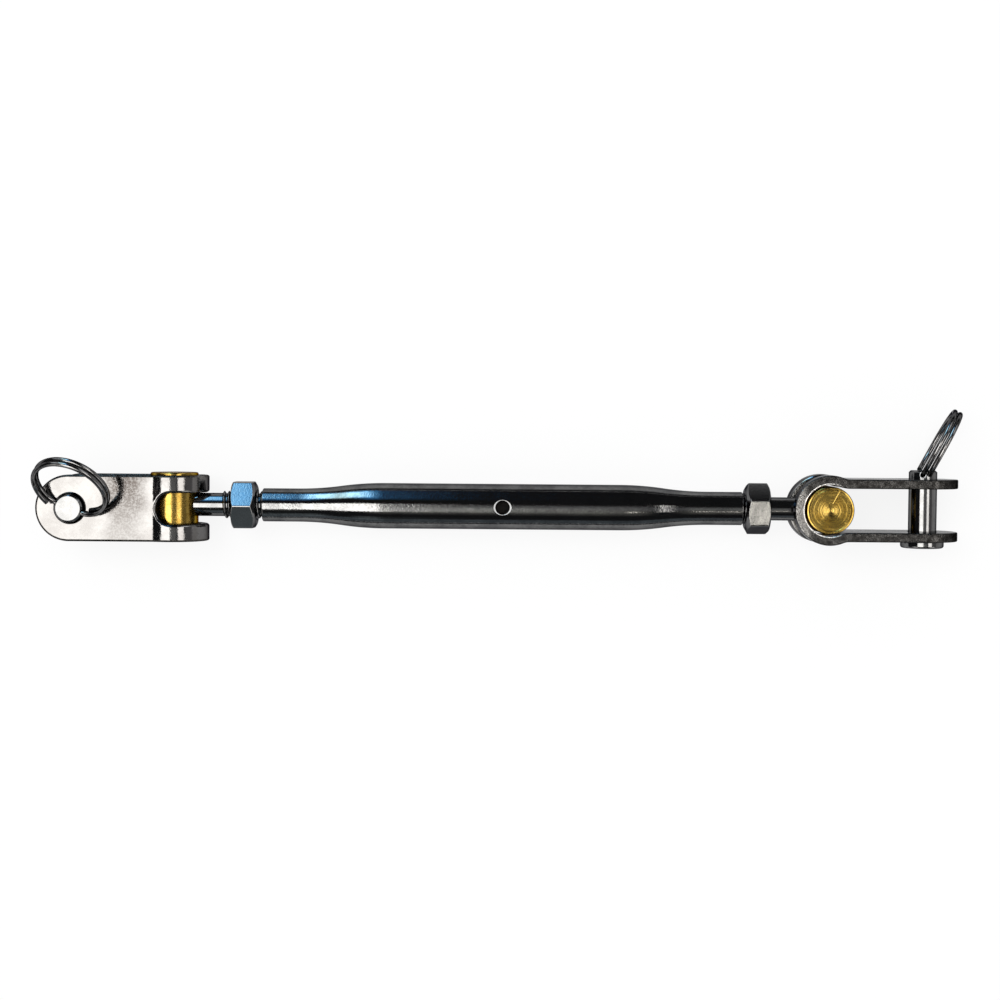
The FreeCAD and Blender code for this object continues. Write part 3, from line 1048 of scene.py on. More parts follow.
@dataclass
class LockNut:
    """A hexagon lock nut, chamfered at both faces.

    Attributes:
        side: The end that it belongs to.
        flat_angle: How far a flat's middle is turned from +Z towards -Y, in degrees.
        tube_face_radius: Where the face beside the tube begins to be chamfered, deeper than
            the other.
    """

    side: str
    flat_angle: float
    across_flats: float = 9.8
    thickness: float = 5.2
    chamfer_angle: float = 30.0
    mouth_chamfer: float = 0.35
    bore_radius: float = 3.0
    tube_face_radius: float = 4.25
    corner_round: float = 0.45
    edge_round: float = 0.1
    edge_degrees: float = 22.0
    flat_steps: int = 12

    def outline(self) -> list[Point]:
        """The hexagon with rounded corners, as points about the axis.

        Returns:
            The points, as the distances towards +Z and towards -Y.
        """
        flat = self.across_flats / 2
        reach = (flat - self.corner_round) / math.cos(math.pi / 6)
        half_flat = (flat - self.corner_round) * math.tan(math.pi / 6)
        points: list[Point] = []
        for index in range(6):
            degrees = self.flat_angle + 60 * index
            way, corner = math.radians(degrees), math.radians(degrees + 30)
            out = Vector((math.cos(way), math.sin(way)))
            across = out.orthogonal() * half_flat
            points += [(out * flat + across * (2 * i / self.flat_steps - 1))[:]
                       for i in range(1, self.flat_steps)]
            points += arc((reach * math.cos(corner), reach * math.sin(corner)),
                          self.corner_round, degrees, degrees + 60, 6)
        return points

    def build(self, shop: Shop) -> None:
        """Makes the nut.

        Args:
            shop: What every piece is made with.
        """
        bm = bmesh.new()
        mouth, wide = self.mouth_chamfer, self.bore_radius + self.mouth_chamfer
        first, last = self.across_flats / 2 - self.mouth_chamfer / 2, self.tube_face_radius
        if self.side == "right":
            first, last = last, first
        slope = math.tan(math.radians(self.chamfer_angle))
        rings = []
        for up, sideways in self.outline():
            reach = math.hypot(up, sideways)
            section = [
                (mouth, self.bore_radius), (0, wide), (0, first), ((reach - first) * slope, reach),
                (self.thickness - (reach - last) * slope, reach), (self.thickness, last),
                (self.thickness, wide), (self.thickness - mouth, self.bore_radius)]
            rings.append([bm.verts.new((x, -sideways * r / reach, up * r / reach))
                          for x, r in section])
        join_rings(bm, rings, rings[1:] + rings[:1])
        node = f"{self.side}_locknut"
        nut = new_object(f"{node}_hexagon", bm, moved(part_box(node)[0].x / MM))
        bevel = nut.modifiers.new("edges", "BEVEL")
        bevel.width, bevel.segments, bevel.limit_method = self.edge_round * MM, 2, "ANGLE"
        bevel.angle_limit = math.radians(self.edge_degrees)
        smooth(nut)
        shop.finish(nut, (NUT_STEEL,), Axis.Y.value, node)


def grow(piece: Piece, tree: Tree, values: dict) -> None:
    """Runs a Geometry Nodes tree on a piece and keeps the result as its mesh.

    Args:
        piece: The object that the tree is given.
        tree: The tree.
        values: Its inputs by name.
    """
    modifier = piece.modifiers.new(tree.name, "NODES")
    modifier.node_group = tree
    for socket in tree.interface.items_tree:
        if socket.in_out == "INPUT" and socket.name in values:
            modifier[socket.identifier] = values[socket.name]
    bake(piece)


@dataclass
class Stud:
    """A threaded stud, whose plain shank is fixed in the barrel."""

    side: str
    hand: Hand
    plain_length: float
    length: float = 62.0
    plain_diameter: float = 5.0
    crest_radius: float = 2.95
    root_radius: float = 2.42
    pitch: float = 1.0
    chamfer: float = 0.45
    shank_end: float = 4.8

    def build(self, shop: Shop, place: Matrix) -> None:
        """Makes the stud along -X from the barrel's axis.

        Args:
            shop: What every piece is made with.
            place: Where the piece's own axes stand, in millimetres.
        """
        shank, root, node = self.plain_diameter / 2, self.root_radius, f"{self.side}_stud"
        thread_start, thread_end = -self.length + self.chamfer, -self.plain_length - self.chamfer
        stud = lathe(f"{node}_threaded", rounded([
            (self.shank_end, 0, 0), (self.shank_end, shank, 0.25), (-self.plain_length, shank, 0.1),
            (thread_end, root, 0.05), (thread_start, root, 0.1),
            (-self.length, root - self.chamfer, 0), (-self.length, 0, 0)]), Axis.X, HERE,
            segments=96)
        smooth(stud)
        grow(stud, shop.forms.thread, {
            "Start": thread_start * MM, "Length": (-self.plain_length - thread_start) * MM,
            "Pitch": self.pitch * MM, "Root Radius": root * MM,
            "Crest Radius": self.crest_radius * MM, "Left Handed": self.hand.value,
            "Material": STUD_STEEL.material(shop.groups, place)})
        stud.data.transform(Matrix.Scale(MM, 4) @ place @ Matrix.Scale(1 / MM, 4))
        shop.finish(stud, (STUD_STEEL,), place @ Axis.Z.value, node)


@dataclass
class Barrel:
    """The turned brass barrel, cross-bored for the stud."""

    side: str
    finish: Finish
    diameter: float = 10.2
    length: float = 13.8
    edge_round: float = 0.35
    bore_radius: float = 2.52
    pip_radius: float = 0.3
    pip_depth: float = 0.1
    groove_radius: float = 4.42
    groove_half_width: float = 0.12
    groove_depth: float = 0.07

    def build(self, shop: Shop, place: Matrix) -> None:
        """Makes the barrel along Y, with the lathe's centre mark and a groove in both ends.

        Args:
            shop: What every piece is made with.
            place: Where the piece's own axes stand, in millimetres.
        """
        half, radius, node = self.length / 2, self.diameter / 2, f"{self.side}_barrel"
        groove, lip = self.groove_radius, self.groove_half_width
        end = [(half - self.pip_depth, 0, 0), (half, self.pip_radius, 0), (half, groove - lip, 0),
               (half - self.groove_depth, groove, 0), (half, groove + lip, 0),
               (half, radius, self.edge_round)]
        profile = rounded([(-y, *rest) for y, *rest in end] + end[::-1])
        barrel = lathe(f"{node}_turned", profile, Axis.Y, place, segments=160)
        bore = drill(barrel, self.bore_radius, radius * 2, place, segments=64)
        smooth(barrel, (Bore.about(place, Axis.Y, radius), bore))
        shop.finish(barrel, (self.finish,), place, node)


@dataclass
class Strap:
    """The toggle: a strip folded round the barrel, slotted for the stud and bored for the pin.

    The strip is drawn flat, with rounded edges, and then folded. Its run is counted along the
    strip from the back of the loop, and past the top of the loop it is the distance along X.
    """

    side: str
    edge_round: float
    polished_steps: int
    width: float = 14.1
    thickness: float = 2.0
    slot_round: float = 0.6
    slot_polished_steps: int = 4
    bore_polished_steps: int = 2
    round_steps: int = 5
    loop_inner: float = 5.45
    jaw_gap: float = 9.3
    shoulder_bend: float = 3.45
    pin_distance: float = 21.0
    end_margin: float = 7.4
    slot_width: float = 6.7
    slot_overrun: float = 2.95
    slot_wall_lean: float = 10.0
    pin_bore: float = 3.05
    fold_step: float = 0.3

    def __post_init__(self) -> None:
        """Works out the fold."""
        self.loop_outer = self.loop_inner + self.thickness
        self.loop_middle = self.loop_inner + self.thickness / 2
        self.top_run = self.loop_middle * math.pi / 2
        self.tip = self.pin_distance + self.end_margin
        self.centre_distance = self.loop_outer + self.shoulder_bend
        drop = self.loop_outer - self.jaw_gap / 2 - self.thickness
        self.lean = math.acos(1 - drop / self.centre_distance)
        self.shoulder_length = self.centre_distance * math.sin(self.lean)

    def face_height(self, x: float, loop: float, arm: float) -> tuple[float, float]:
        """The height and slope of one face of the upper half past the top of the loop.

        Args:
            x: The distance along X, 0 or more.
            loop: The face's radius in the loop.
            arm: The face's height in the arm.

        Returns:
            The height and the slope at that distance.
        """
        if x <= loop * math.sin(self.lean):
            height = math.sqrt(loop * loop - x * x)
            return height, -x / height
        if x >= self.shoulder_length:
            return arm, 0.0
        bend, left = self.centre_distance - loop, self.shoulder_length - x
        down = math.sqrt(bend * bend - left * left)
        return arm + bend - down, -left / down

    def height(self, x: float, layer: float) -> tuple[float, float]:
        """The height and slope at a distance along X in a layer, from -1 inside to 1 outside.

        Args:
            x: The distance along X, 0 or more.
            layer: How far out in the thickness, from -1 to 1.

        Returns:
            The height and the slope there.
        """
        arm, share = self.jaw_gap / 2, (layer + 1) / 2
        inner = self.face_height(x, self.loop_inner, arm)
        outer = self.face_height(x, self.loop_outer, arm + self.thickness)
        return tuple(low * (1 - share) + high * share for low, high in zip(inner, outer))

    def folded(self, run: float, across: float, layer: float) -> tuple[Vector, Vector]:
        """Where a point of the flat strip comes to lie.

        Args:
            run: The distance along the strip from the back of the loop.
            across: The distance across the strip.
            layer: How far out in the thickness, from -1 to 1.

        Returns:
            The folded point, and the way out of the strip there.
        """
        if abs(run) < self.top_run:
            angle = run / self.loop_middle
            radius = self.loop_middle + layer * self.thickness / 2
            way = Vector((-math.cos(angle), 0, math.sin(angle)))
            return way * radius + Vector((0, across, 0)), way
        x, side = abs(run) - self.top_run, math.copysign(1, run)
        z, slope = self.height(x, layer)
        return Vector((x, across, z * side)), Vector((-slope, 0, side)).normalized()

    def flat_outlines(self) -> list[list[Point]]:
        """The strip's outline and its holes, each turning with the metal on its left.

        Returns:
            The outline, the slot and the two bores, as the run along the strip and across it.
        """
        tip, slot = self.width / 2, self.slot_width / 2
        tip_centre = self.top_run + self.tip - tip
        slot_centre = self.top_run + self.slot_overrun - slot
        outline = [*arc((tip_centre, 0), tip, -90, 90, 48),
                   *arc((-tip_centre, 0), tip, 90, 270, 48)]
        hole = [*arc((slot_centre, 0), slot, 90, -90, 32),
                *arc((-slot_centre, 0), slot, -90, -270, 32)]
        pin_run = self.top_run + self.pin_distance
        bores = [arc((x, 0), self.pin_bore, 360, 0, 64)[:-1] for x in (pin_run, -pin_run)]
        return [outline, hole, *bores]

    def wall_rings(self, bm: bmesh.types.BMesh, loop: list[Point], edge: float,
                   lean: float) -> list[list[bmesh.types.BMVert]]:
        """Draws an outline at each level of its wall, from the upper face to the lower.

        Args:
            bm: The strip's mesh.
            loop: The outline.
            edge: The radius of its rounded edges.
            lean: How far the wall leans out along X for each millimetre down.

        Returns:
            The vertices of each level.
        """
        half = self.thickness / 2
        angles = [math.pi / 2 * step / self.round_steps for step in range(self.round_steps + 1)]
        section = [(edge - edge * math.sin(t), half - edge + edge * math.cos(t)) for t in angles]
        section += [(inset, -up) for inset, up in reversed(section)]
        inward = []
        for i in range(len(loop)):
            way = (Vector(loop[(i + 1) % len(loop)]) - Vector(loop[i - 1])).normalized()
            inward.append(Vector((-way.y, way.x)))
        return [[bm.verts.new((x + inset * way.x - math.copysign(lean * (half - up), x),
                               y + inset * way.y, up)) for (x, y), way in zip(loop, inward)]
                for inset, up in section]

    def flat_strip(self) -> bmesh.types.BMesh:
        """Draws the flat strip with rounded edges, its sawn sides in the second material slot.

        Returns:
            The strip's mesh, with its thickness along Z.
        """
        bm = bmesh.new()
        uppers, lowers = [], []
        bore = (self.edge_round, self.bore_polished_steps, 0.0)
        edges = [(self.edge_round, self.polished_steps, 0.0),
                 (self.slot_round, self.slot_polished_steps,
                  math.tan(math.radians(self.slot_wall_lean))), bore, bore]
        for loop, (edge, polished, lean) in zip(self.flat_outlines(), edges):
            rings = self.wall_rings(bm, loop, edge, lean)
            for level, (upper, lower) in enumerate(zip(rings, rings[1:])):
                for face in join_rings(bm, [upper], [lower]):
                    face.material_index = int(polished <= level < len(rings) - 1 - polished)
            uppers.append(rings[0])
            lowers.append(rings[-1])
        for rings in (uppers, lowers):
            corners = [corner for ring in rings for corner in ring]
            for triangle in tessellate_polygon([[corner.co.xy.to_3d() for corner in ring]
                                                for ring in rings]):
                bm.faces.new([corners[i] for i in triangle])
        return bm

    def build(self, shop: Shop, place: Matrix) -> None:
        """Draws the strip flat, folds it and puts it in place.

        Args:
            shop: What every piece is made with.
            place: Where the piece's own axes stand, in millimetres.
        """
        node = f"{self.side}_toggle_strap"
        bm = self.flat_strip()
        last = self.top_run + self.shoulder_length
        for i in range(round(2 * last / self.fold_step) + 1):
            parts = bm.verts[:] + bm.edges[:] + bm.faces[:]
            bmesh.ops.bisect_plane(bm, geom=parts, plane_co=(i * self.fold_step - last, 0, 0),
                                   plane_no=(1, 0, 0), dist=1e-4)
        outward = bm.verts.layers.float_vector.new("outward")
        for corner in bm.verts:
            layer = corner.co.z / (self.thickness / 2)
            spot, way = self.folded(corner.co.x, corner.co.y, layer)
            corner[outward] = way * math.copysign(1, layer) if abs(layer) > 0.999 else Vector()
            corner.co = spot
        strap = new_object(f"{node}_folded", bm, place)
        mesh = strap.data
        mesh.shade_smooth()
        ways, turn = mesh.attributes["outward"].data, place.to_3x3()
        normals = [corner.vector.copy() for corner in mesh.corner_normals]
        for loop in mesh.loops:
            way = Vector(ways[loop.vertex_index].vector)
            if way.length > 0.5:
                normals[loop.index] = turn @ way
        mesh.normals_split_custom_set(normals)
        shop.finish(strap, (STRAP_FACE, STRAP_EDGE), place, node)


@dataclass
class ClevisPin:
    """The headed pin, with a hole across its end for the split ring."""

    side: str
    diameter: float = 6.0
    arm_outer: float = 6.65
    end_play: float = 0.1
    projection: float = 1.9
    end_chamfer: float = 0.42
    end_round: float = 0.08
    head_diameter: float = 9.2
    head_thickness: float = 1.4
    head_round: float = 0.55
    head_inner_round: float = 0.12
    hole_diameter: float = 1.55
    hole_height: float = 0.95

    def build(self, shop: Shop, place: Matrix) -> None:
        """Makes the pin along Z, its head at the lower end.

        Args:
            shop: What every piece is made with.
            place: Where the piece's own axes stand, in millimetres.
        """
        radius, head, node = self.diameter / 2, self.head_diameter / 2, f"{self.side}_clevis_pin"
        head_top, end = -self.arm_outer - self.end_play, self.arm_outer + self.projection
        head_end, chamfer = head_top - self.head_thickness, self.end_chamfer
        pin = lathe(f"{node}_turned", rounded([
            (head_end, 0, 0), (head_end, head, self.head_round),
            (head_top, head, self.head_inner_round), (head_top, radius, 0),
            (end - chamfer, radius, self.end_round), (end, radius - chamfer, self.end_round),
            (end, 0, 0)]), Axis.Z, place)
        across = place @ moved(0, 0, self.arm_outer + self.hole_height)
        hole = drill(pin, self.hole_diameter / 2, radius * 2, across, segments=48)
        smooth(pin, (Bore.about(place, Axis.Z, radius), hole))
        shop.finish(pin, (PIN_STEEL,), place @ Axis.Z.value, node)


@dataclass
class SplitRing:
    """A split ring of spring wire, nearly two turns, whose middle strand lies along X in a hole."""

    side: str
    diameter: float = 16.8
    wire_diameter: float = 1.1
    wire_sides: int = 24
    strand_gap: float = 0.08
    end_angle: float = 34.0
    flat_radius: float = 16.0
    corner_radius: float = 4.5
    corner_angle: float = 40.0
    pin_radius: float = 3.0
    chord_degrees: float = 4.0
    sharp_degrees: float = 50.0

    def __post_init__(self) -> None:
        """Works out the radius of the wire's centre line."""
        self.radius = (self.diameter - self.wire_diameter) / 2

    def bend(self, centre: Point, radius: float, start: float, end: float,
             half_turn: int) -> list[Vector]:
        """Samples one bend of the wire.

        Args:
            centre: The bend's centre in the plane of the ring.
            radius: The bend's radius.
            start: Its first angle in degrees, counted from the side of the pin's hole.
            end: Its last angle.
            half_turn: Which half turn of the ring it lies in.

        Returns:
            The points from the start to the end.
        """
        pitch = self.wire_diameter + self.strand_gap
        slope = pitch / 4 / self.radius * (-1) ** half_turn
        steps = max(4, round(abs(end - start) / self.chord_degrees))
        points = []
        for sideways, out in arc((0, 0), radius, start - 90, end - 90, steps):
            across = centre[0] + sideways
            points.append(Vector((math.sqrt(1 - slope * slope) * across, centre[1] + out,
                                  half_turn * pitch / 2 + slope * across)))
        return points

    def path(self) -> list[Vector]:
        """The wire's centre line from end to end, with the hole's middle at the origin.

        Returns:
            The centre line's points.
        """
        centre, corner = (0, self.radius), math.radians(self.corner_angle)
        inset = self.radius - self.corner_radius
        corner_x, corner_y = inset * math.sin(corner), self.radius - inset * math.cos(corner)
        reach = self.flat_radius - self.corner_radius
        flat_angle = math.degrees(math.asin(corner_x / reach))
        flat_y = corner_y + math.sqrt(reach ** 2 - corner_x ** 2)
        halves = []
        for side in (1, -1):
            half = self.bend((side * corner_x, corner_y), self.corner_radius, side * flat_angle,
                             side * self.corner_angle, 0)
            stops = (self.corner_angle, 90, 270, 360 - self.end_angle)
            for turn, (start, end) in enumerate(zip(stops, stops[1:])):
                half += self.bend(centre, self.radius, side * start, side * end, side * turn)[1:]
            halves.append(half)
        flat = self.bend((0, flat_y), self.flat_radius, -flat_angle, flat_angle, 0)
        bow = self.flat_radius - math.sqrt(self.flat_radius ** 2 - self.pin_radius ** 2)
        hole_out = Vector((0, flat_y - self.flat_radius + bow / 2, 0))
        return [spot - hole_out for spot in halves[1][::-1] + flat[1:-1] + halves[0]]

    def build(self, shop: Shop, place: Matrix) -> None:
        """Makes the ring.

        Args:
            shop: What every piece is made with.
            place: Where the piece's own axes stand, in millimetres.
        """
        node = f"{self.side}_split_ring"
        bm = bmesh.new()
        corners = [bm.verts.new(spot) for spot in self.path()]
        for near, far in zip(corners, corners[1:]):
            bm.edges.new((near, far))
        ring = new_object(f"{node}_wound", bm, place)
        grow(ring, shop.forms.wire, {
            "Wire Radius": self.wire_diameter / 2 * MM, "Sides": self.wire_sides,
            "Material": RING_WIRE.material(shop.groups, place)})
        ring.data.shade_smooth()
        ring.data.set_sharp_from_angle(angle=math.radians(self.sharp_degrees))
        shop.finish(ring, (RING_WIRE,), place, node)


@dataclass
class ToggleEnd:
    """One end of the adjuster: its lock nut, stud, barrel, strap, pin and ring.

    Attributes:
        side: "left" or "right".
        hand: The hand of the stud's thread.
        turn: How the end's own axes stand, with X towards the pin, Y along the barrel.
        nut_angle: The lock nut's turn in degrees.
        pin_angle: The clevis pin's turn in its bore.
        ring_angle: How far the ring has swung up.
        edge_round: How far the strap's edges are rounded.
        polished_steps: How many steps of that round are polished, at each face.
        plain_length: How far the stud's plain shank runs from the barrel's axis to its thread.
        brass: The barrel's finish.
    """

    side: str
    hand: Hand
    turn: Matrix
    nut_angle: float
    pin_angle: float
    ring_angle: float
    edge_round: float
    polished_steps: int
    plain_length: float
    brass: Finish

    def build(self, shop: Shop) -> None:
        """Makes the end's six pieces.

        Args:
            shop: What every piece is made with.
        """
        strap, pin = Strap(self.side, self.edge_round, self.polished_steps), ClevisPin(self.side)
        place = moved(*middle_of(f"{self.side}_barrel")) @ self.turn
        shift = (place.inverted() @ middle_of(f"{self.side}_toggle_strap")).y
        strap_place = place @ moved(0, shift)
        pin_place = strap_place @ moved(strap.pin_distance) @ turned(self.pin_angle, "Z")
        ring_place = (pin_place @ moved(0, 0, pin.arm_outer + pin.hole_height)
                      @ turned(self.ring_angle, "X"))
        LockNut(self.side, self.nut_angle).build(shop)
        Stud(self.side, self.hand, self.plain_length).build(shop, place)
        Barrel(self.side, self.brass).build(shop, place)
        strap.build(shop, strap_place)
        pin.build(shop, pin_place)
        SplitRing(self.side).build(shop, ring_place)


@dataclass(frozen=True)
class SoftBox:
    """A rectangle of light in the room, which polished metal mirrors.

    Attributes:
        aim: How far its middle is turned from straight up, towards +X and towards +Y, in degrees.
        size: Half its width and half its height, in degrees.
        blur: How far its sides and its ends fade, in degrees.
        colour: The light's colour.
        strength: The light's strength.
    """

    aim: Point
    size: Point
    blur: Point
    colour: Colour
    strength: float

    def light(self, nodes: Nodes, mask: Tree, way: Socket) -> Socket:
        """The light that comes from a direction.

        Args:
            nodes: The world's tree.
            mask: The group that masks a rectangle.
            way: The direction.

        Returns:
            The light as a vector.
        """
        away = math.radians(math.hypot(*self.aim))
        side = math.radians(1) * math.sin(away) / max(away, 1e-6)
        middle = Vector((self.aim[0] * side, self.aim[1] * side, math.cos(away)))
        across = (Vector((1, 0, 0)) - middle * middle.x).normalized()
        width, height, side_blur, end_blur = (
            math.tan(math.radians(value)) for value in (*self.size, *self.blur))
        inside = nodes.effect(mask, Way=way, Middle=middle[:], Across=across[:],
                              Along=middle.cross(across)[:], Half_Width=width,
                              Half_Height=height, Side_Blur=side_blur, End_Blur=end_blur)
        return nodes.out("ShaderNodeVectorMath", {
            0: self.colour, "Scale": nodes.product(inside, self.strength)}, operation="SCALE")


SOFT_BOXES = (
    SoftBox((-20.0, -7.0), (14.5, 20.0), (2.0, 3.0), (1.0, 0.985, 0.95), 5.2),
    SoftBox((-3.0, -17.0), (4.0, 10.3), (4.0, 6.0), (0.98, 1.0, 0.94), 0.62),
    SoftBox((3.0, -15.0), (12.0, 20.0), (4.0, 13.0), (1.0, 0.98, 0.89), 0.25),
    SoftBox((8.0, -3.0), (12.0, 10.0), (6.0, 6.0), (0.85, 0.90, 1.0), 0.14),
    SoftBox((8.4, -20.7), (1.5, 1.4), (0.3, 0.5), (1.0, 0.95, 0.85), 4.0),
    SoftBox((31.0, -2.0), (9.5, 18.0), (2.0, 4.0), (1.0, 0.97, 0.93), 4.4),
    SoftBox((58.0, -2.0), (14.0, 20.0), (5.0, 6.0), (1.0, 0.97, 0.98), 0.22),
    SoftBox((81.0, 0.0), (11.0, 35.0), (4.0, 10.0), (1.0, 0.98, 0.96), 0.55),
    *(SoftBox(aim, (12.0, 15.0), (5.0, 6.0), colour, 1.7) for aim, colour in (
        ((44.0, 44.0), (0.96, 0.98, 1.0)), ((44.0, -44.0), (1.0, 0.98, 0.95)),
        ((-44.0, 44.0), (0.90, 0.96, 1.0)), ((-44.0, -44.0), (1.0, 0.98, 0.95)))),
    SoftBox((-22.0, 62.0), (8.0, 16.0), (1.8, 5.0), (0.62, 0.93, 1.0), 4.2),
    SoftBox((-15.0, 64.0), (4.5, 20.0), (1.6, 6.0), (0.24, 1.20, 2.4), 1.0),
    SoftBox((-10.5, 60.0), (3.5, 24.0), (3.5, 8.0), (0.12, 0.45, 1.0), 1.0),
    SoftBox((0.0, -80.0), (50.0, 12.0), (15.0, 3.0), (0.84, 1.0, 1.12), 0.16),
    SoftBox((-11.5, -64.0), (4.5, 8.5), (2.5, 4.0), (0.85, 1.0, 1.04), 0.17),
)


@dataclass
class Studio:
    """The floor, the light and the camera.

    Attributes:
        camera_spot: Where the camera stands, in millimetres.
        field_of_view: The camera's horizontal view in degrees.
        tilt: How far it looks towards -Y, in degrees.
        roll: How far it is turned about its own axis, in degrees.
        clip: The nearest and farthest distance that it sees, in metres.
        floor_size: The floor's side in millimetres.
        floor_drop: How far the floor lies under the lowest piece, in millimetres.
        floor_tone: The colour of the floor where it takes light and shadow.
        floor_paleness: How much of the floor's brightness is its own.
        mirrored_paleness: How pale metal shows the floor near the object.
        pool_middle: Where across the floor the painted pool of light is strongest, in millimetres.
        pool_sides: How far from there it begins and ends to fade, in millimetres.
        pool_ends: How far along the object it begins and ends to fade, in millimetres.
        room_light: The even light on all that isn't a mirror.
        ceiling: The dark ceiling's colour.
        backdrop: The pale backdrop's colour.
        backdrop_top: The heights above the horizon between which it ends, in degrees.
        lamp_spot: Where the lamp hangs, in metres.
        lamp_size: The lamp's side in metres.
        lamp_power: The lamp's power in watts.
    """

    camera_spot: tuple[float, float, float] = (-0.56, 16.9, 385.0)
    field_of_view: float = 31.2
    tilt: float = 2.3
    roll: float = 0.458
    clip: Point = (0.01, 20.0)
    floor_size: float = 4000.0
    floor_drop: float = 0.02
    floor_tone: Colour = (0.94, 0.94, 0.94)
    floor_paleness: float = 0.86
    mirrored_paleness: float = 0.68
    pool_middle: float = -20.0
    pool_sides: Point = (48.0, 98.0)
    pool_ends: Point = (400.0, 1500.0)
    room_light: float = 0.9
    ceiling: Colour = (0.022, 0.023, 0.025)
    backdrop: Colour = (0.99, 0.99, 0.99)
    backdrop_top: Point = (0.0, 1.5)
    lamp_spot: tuple[float, float, float] = (-0.35, 0.25, 0.9)
    lamp_size: float = 0.5
    lamp_power: float = 3.0

    def build(self) -> None:
        """Makes the whole set."""
        self.build_floor()
        self.build_world()
        self.build_lamp()
        self.build_camera()
        bpy.context.scene.view_settings.view_transform = "Standard"

    def build_floor(self) -> None:
        """A plain pale floor just under the lowest piece.

        Most of its paleness is its own, for the camera as for metal that mirrors it, and the rest
        takes light and shadow. Metal mirrors it pale only in a painted pool of light round the
        object, and as dark as the ceiling beyond it.
        """
        bm = bmesh.new()
        bmesh.ops.create_grid(bm, x_segments=1, y_segments=1, size=self.floor_size / 2)
        floor = new_object("floor", bm, moved(0, 0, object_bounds()[0].z / MM - self.floor_drop))
        material, nodes = new_material("pale_floor")
        lit = nodes.out("ShaderNodeBsdfPrincipled", {
            "Base Color": rgba(self.floor_tone), "Roughness": 0.7, "Specular IOR Level": 0.0})
        path, metal = self.rays(nodes)
        background = nodes.math("MAXIMUM", path["Is Camera Ray"], metal)
        shown = nodes.mixed_shader(nodes.product(background, self.floor_paleness), lit,
                                   nodes.glow("Emission", (1, 1, 1)))
        # Outside the painted pool of light, metal sees the floor as dark as the ceiling.
        dimmed = nodes.math("SUBTRACT", 1.0, self.pool(nodes))
        final = nodes.mixed_shader(nodes.product(path["Is Glossy Ray"], dimmed), shown,
                                   nodes.glow("Emission", self.ceiling))
        nodes.add("ShaderNodeOutputMaterial", {"Surface": final})
        floor.data.materials.append(material)
        floor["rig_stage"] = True

    def pool(self, nodes: Nodes) -> Socket:
        """How pale metal shows the floor: a painted pool of light round the object that fades away
        from it.

        Args:
            nodes: The floor's tree.

        Returns:
            The paleness, from 0 to 1.
        """
        spot = nodes.split(nodes.out("ShaderNodeTexCoord", output="Object"))
        fades = []
        for part, middle, (start, end) in (("Y", self.pool_middle, self.pool_sides),
                                           ("X", 0.0, self.pool_ends)):
            away = nodes.distance(spot[part], middle * MM)
            fades.append(nodes.ramp(away, end * MM, start * MM))
        return nodes.product(*fades, self.mirrored_paleness)

    @staticmethod
    def rays(nodes: Nodes) -> "tuple[bpy.types.NodeOutputs, Socket]":
        """The kinds of ray, and 1 for the rays that a mirror or glass sends on."""
        path = nodes.add("ShaderNodeLightPath").outputs
        return path, nodes.math("MAXIMUM", path["Is Glossy Ray"], path["Is Transmission Ray"])

    @staticmethod
    def build_mask() -> Tree:
        """The group that is 1 inside a rectangle of light and fades at its sides and ends.

        Returns:
            The group.
        """
        nodes = Group("soft_box", {
            **dict.fromkeys(("Way", "Middle", "Across", "Along"), "Vector"), "Half Width": 0.2,
            "Half Height": 0.2, "Side Blur": 0.05, "End Blur": 0.05})
        given = nodes.given
        facing = nodes.math("MAXIMUM", 0.001,
                            nodes.vector_math("DOT_PRODUCT", given["Way"], given["Middle"]))
        masks = []
        for line, half, blur in (("Across", given["Half Width"], given["Side Blur"]),
                                 ("Along", given["Half Height"], given["End Blur"])):
            out = nodes.vector_math("DOT_PRODUCT", given["Way"], given[line])
            reach = nodes.distance(nodes.math("DIVIDE", out, facing))
            masks.append(nodes.ramp(reach, nodes.math("ADD", half, blur),
                                    nodes.math("SUBTRACT", half, blur)))
        return nodes.finished("Mask", nodes.product(*masks))

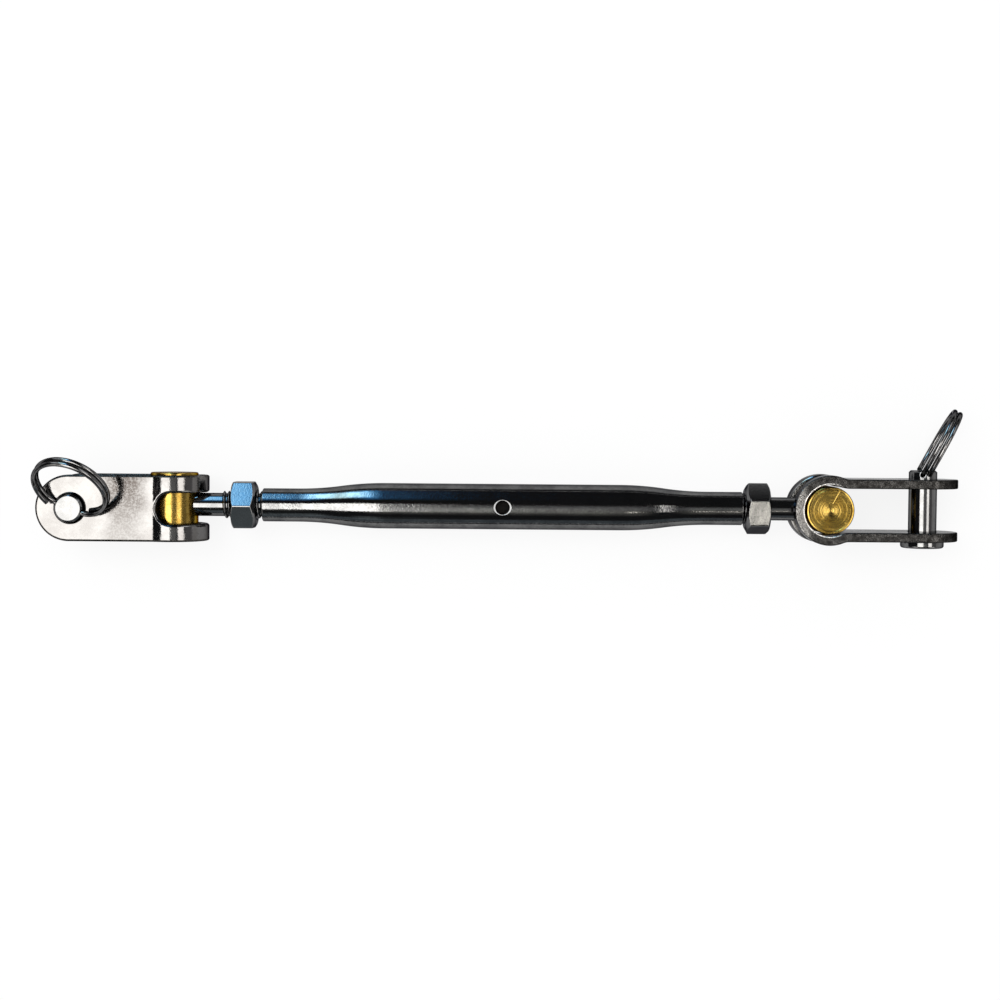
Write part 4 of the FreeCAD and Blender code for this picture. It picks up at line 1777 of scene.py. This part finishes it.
    def build_world(self) -> None:
        """A pale room, whose dark ceiling with its soft boxes shows only in polished metal."""
        world = bpy.data.worlds.new("studio")
        world.use_nodes = True
        bpy.context.scene.world = world
        nodes = Nodes(world.node_tree)
        way = nodes.out("ShaderNodeTexCoord", output="Generated")
        mask = self.build_mask()
        light = nodes.joined(**dict(zip("XYZ", self.ceiling)))
        for box in SOFT_BOXES:
            light = nodes.vector_math("ADD", light, box.light(nodes, mask, way))
        top, foot = (math.sin(math.radians(angle)) for angle in reversed(self.backdrop_top))
        low = nodes.ramp(nodes.split(way)["Z"], top, foot)
        path, metal = self.rays(nodes)
        room = nodes.glow("Background", (1, 1, 1), self.room_light)
        upper = nodes.mixed_shader(metal, room, nodes.glow("Background", light))
        seen = nodes.math("MAXIMUM", path["Is Camera Ray"], nodes.product(metal, low))
        final = nodes.mixed_shader(seen, upper, nodes.glow("Background", self.backdrop))
        nodes.add("ShaderNodeOutputWorld", {"Surface": final})

    def build_lamp(self) -> None:
        """One large soft lamp, up and to the left, which metal doesn't mirror."""
        data = bpy.data.lights.new("soft_lamp", "AREA")
        data.shape, data.size, data.energy = "SQUARE", self.lamp_size, self.lamp_power
        lamp = bpy.data.objects.new("soft_lamp", data)
        lamp.location = self.lamp_spot
        lamp.rotation_euler = (-lamp.location).to_track_quat("-Z", "Y").to_euler()
        lamp.visible_glossy = False
        bpy.context.scene.collection.objects.link(lamp)

    def build_camera(self) -> None:
        """The camera above the object, as in the photograph."""
        data = bpy.data.cameras.new("camera")
        data.angle = math.radians(self.field_of_view)
        data.clip_start, data.clip_end = self.clip
        camera = bpy.data.objects.new("camera", data)
        spot = Matrix.Translation(Vector(self.camera_spot) * MM)
        camera.matrix_world = spot @ turned(-self.tilt, "X") @ turned(self.roll, "Z")
        bpy.context.scene.collection.objects.link(camera)
        bpy.context.scene.camera = camera


def main() -> None:
    """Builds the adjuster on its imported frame, and the studio round it."""
    logging.basicConfig(level=logging.INFO, format="%(name)s: %(message)s")
    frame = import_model()
    shop = Shop(SurfaceGroups(), GrownForms(), frame["nodes"])
    Body().build(shop)
    ToggleEnd("left", Hand.LEFT, turned(180, "Z"), nut_angle=31.5, pin_angle=159.3,
              ring_angle=48.0, edge_round=0.45, polished_steps=0, plain_length=10.8,
              brass=BARREL_BRASS).build(shop)
    ToggleEnd("right", Hand.RIGHT, turned(-90, "X"), nut_angle=9.1, pin_angle=-101.4,
              ring_angle=62.3, edge_round=0.28, polished_steps=2, plain_length=12.7,
              brass=SCORED_BRASS).build(shop)
    Studio().build()


if __name__ == "__main__":
    main()
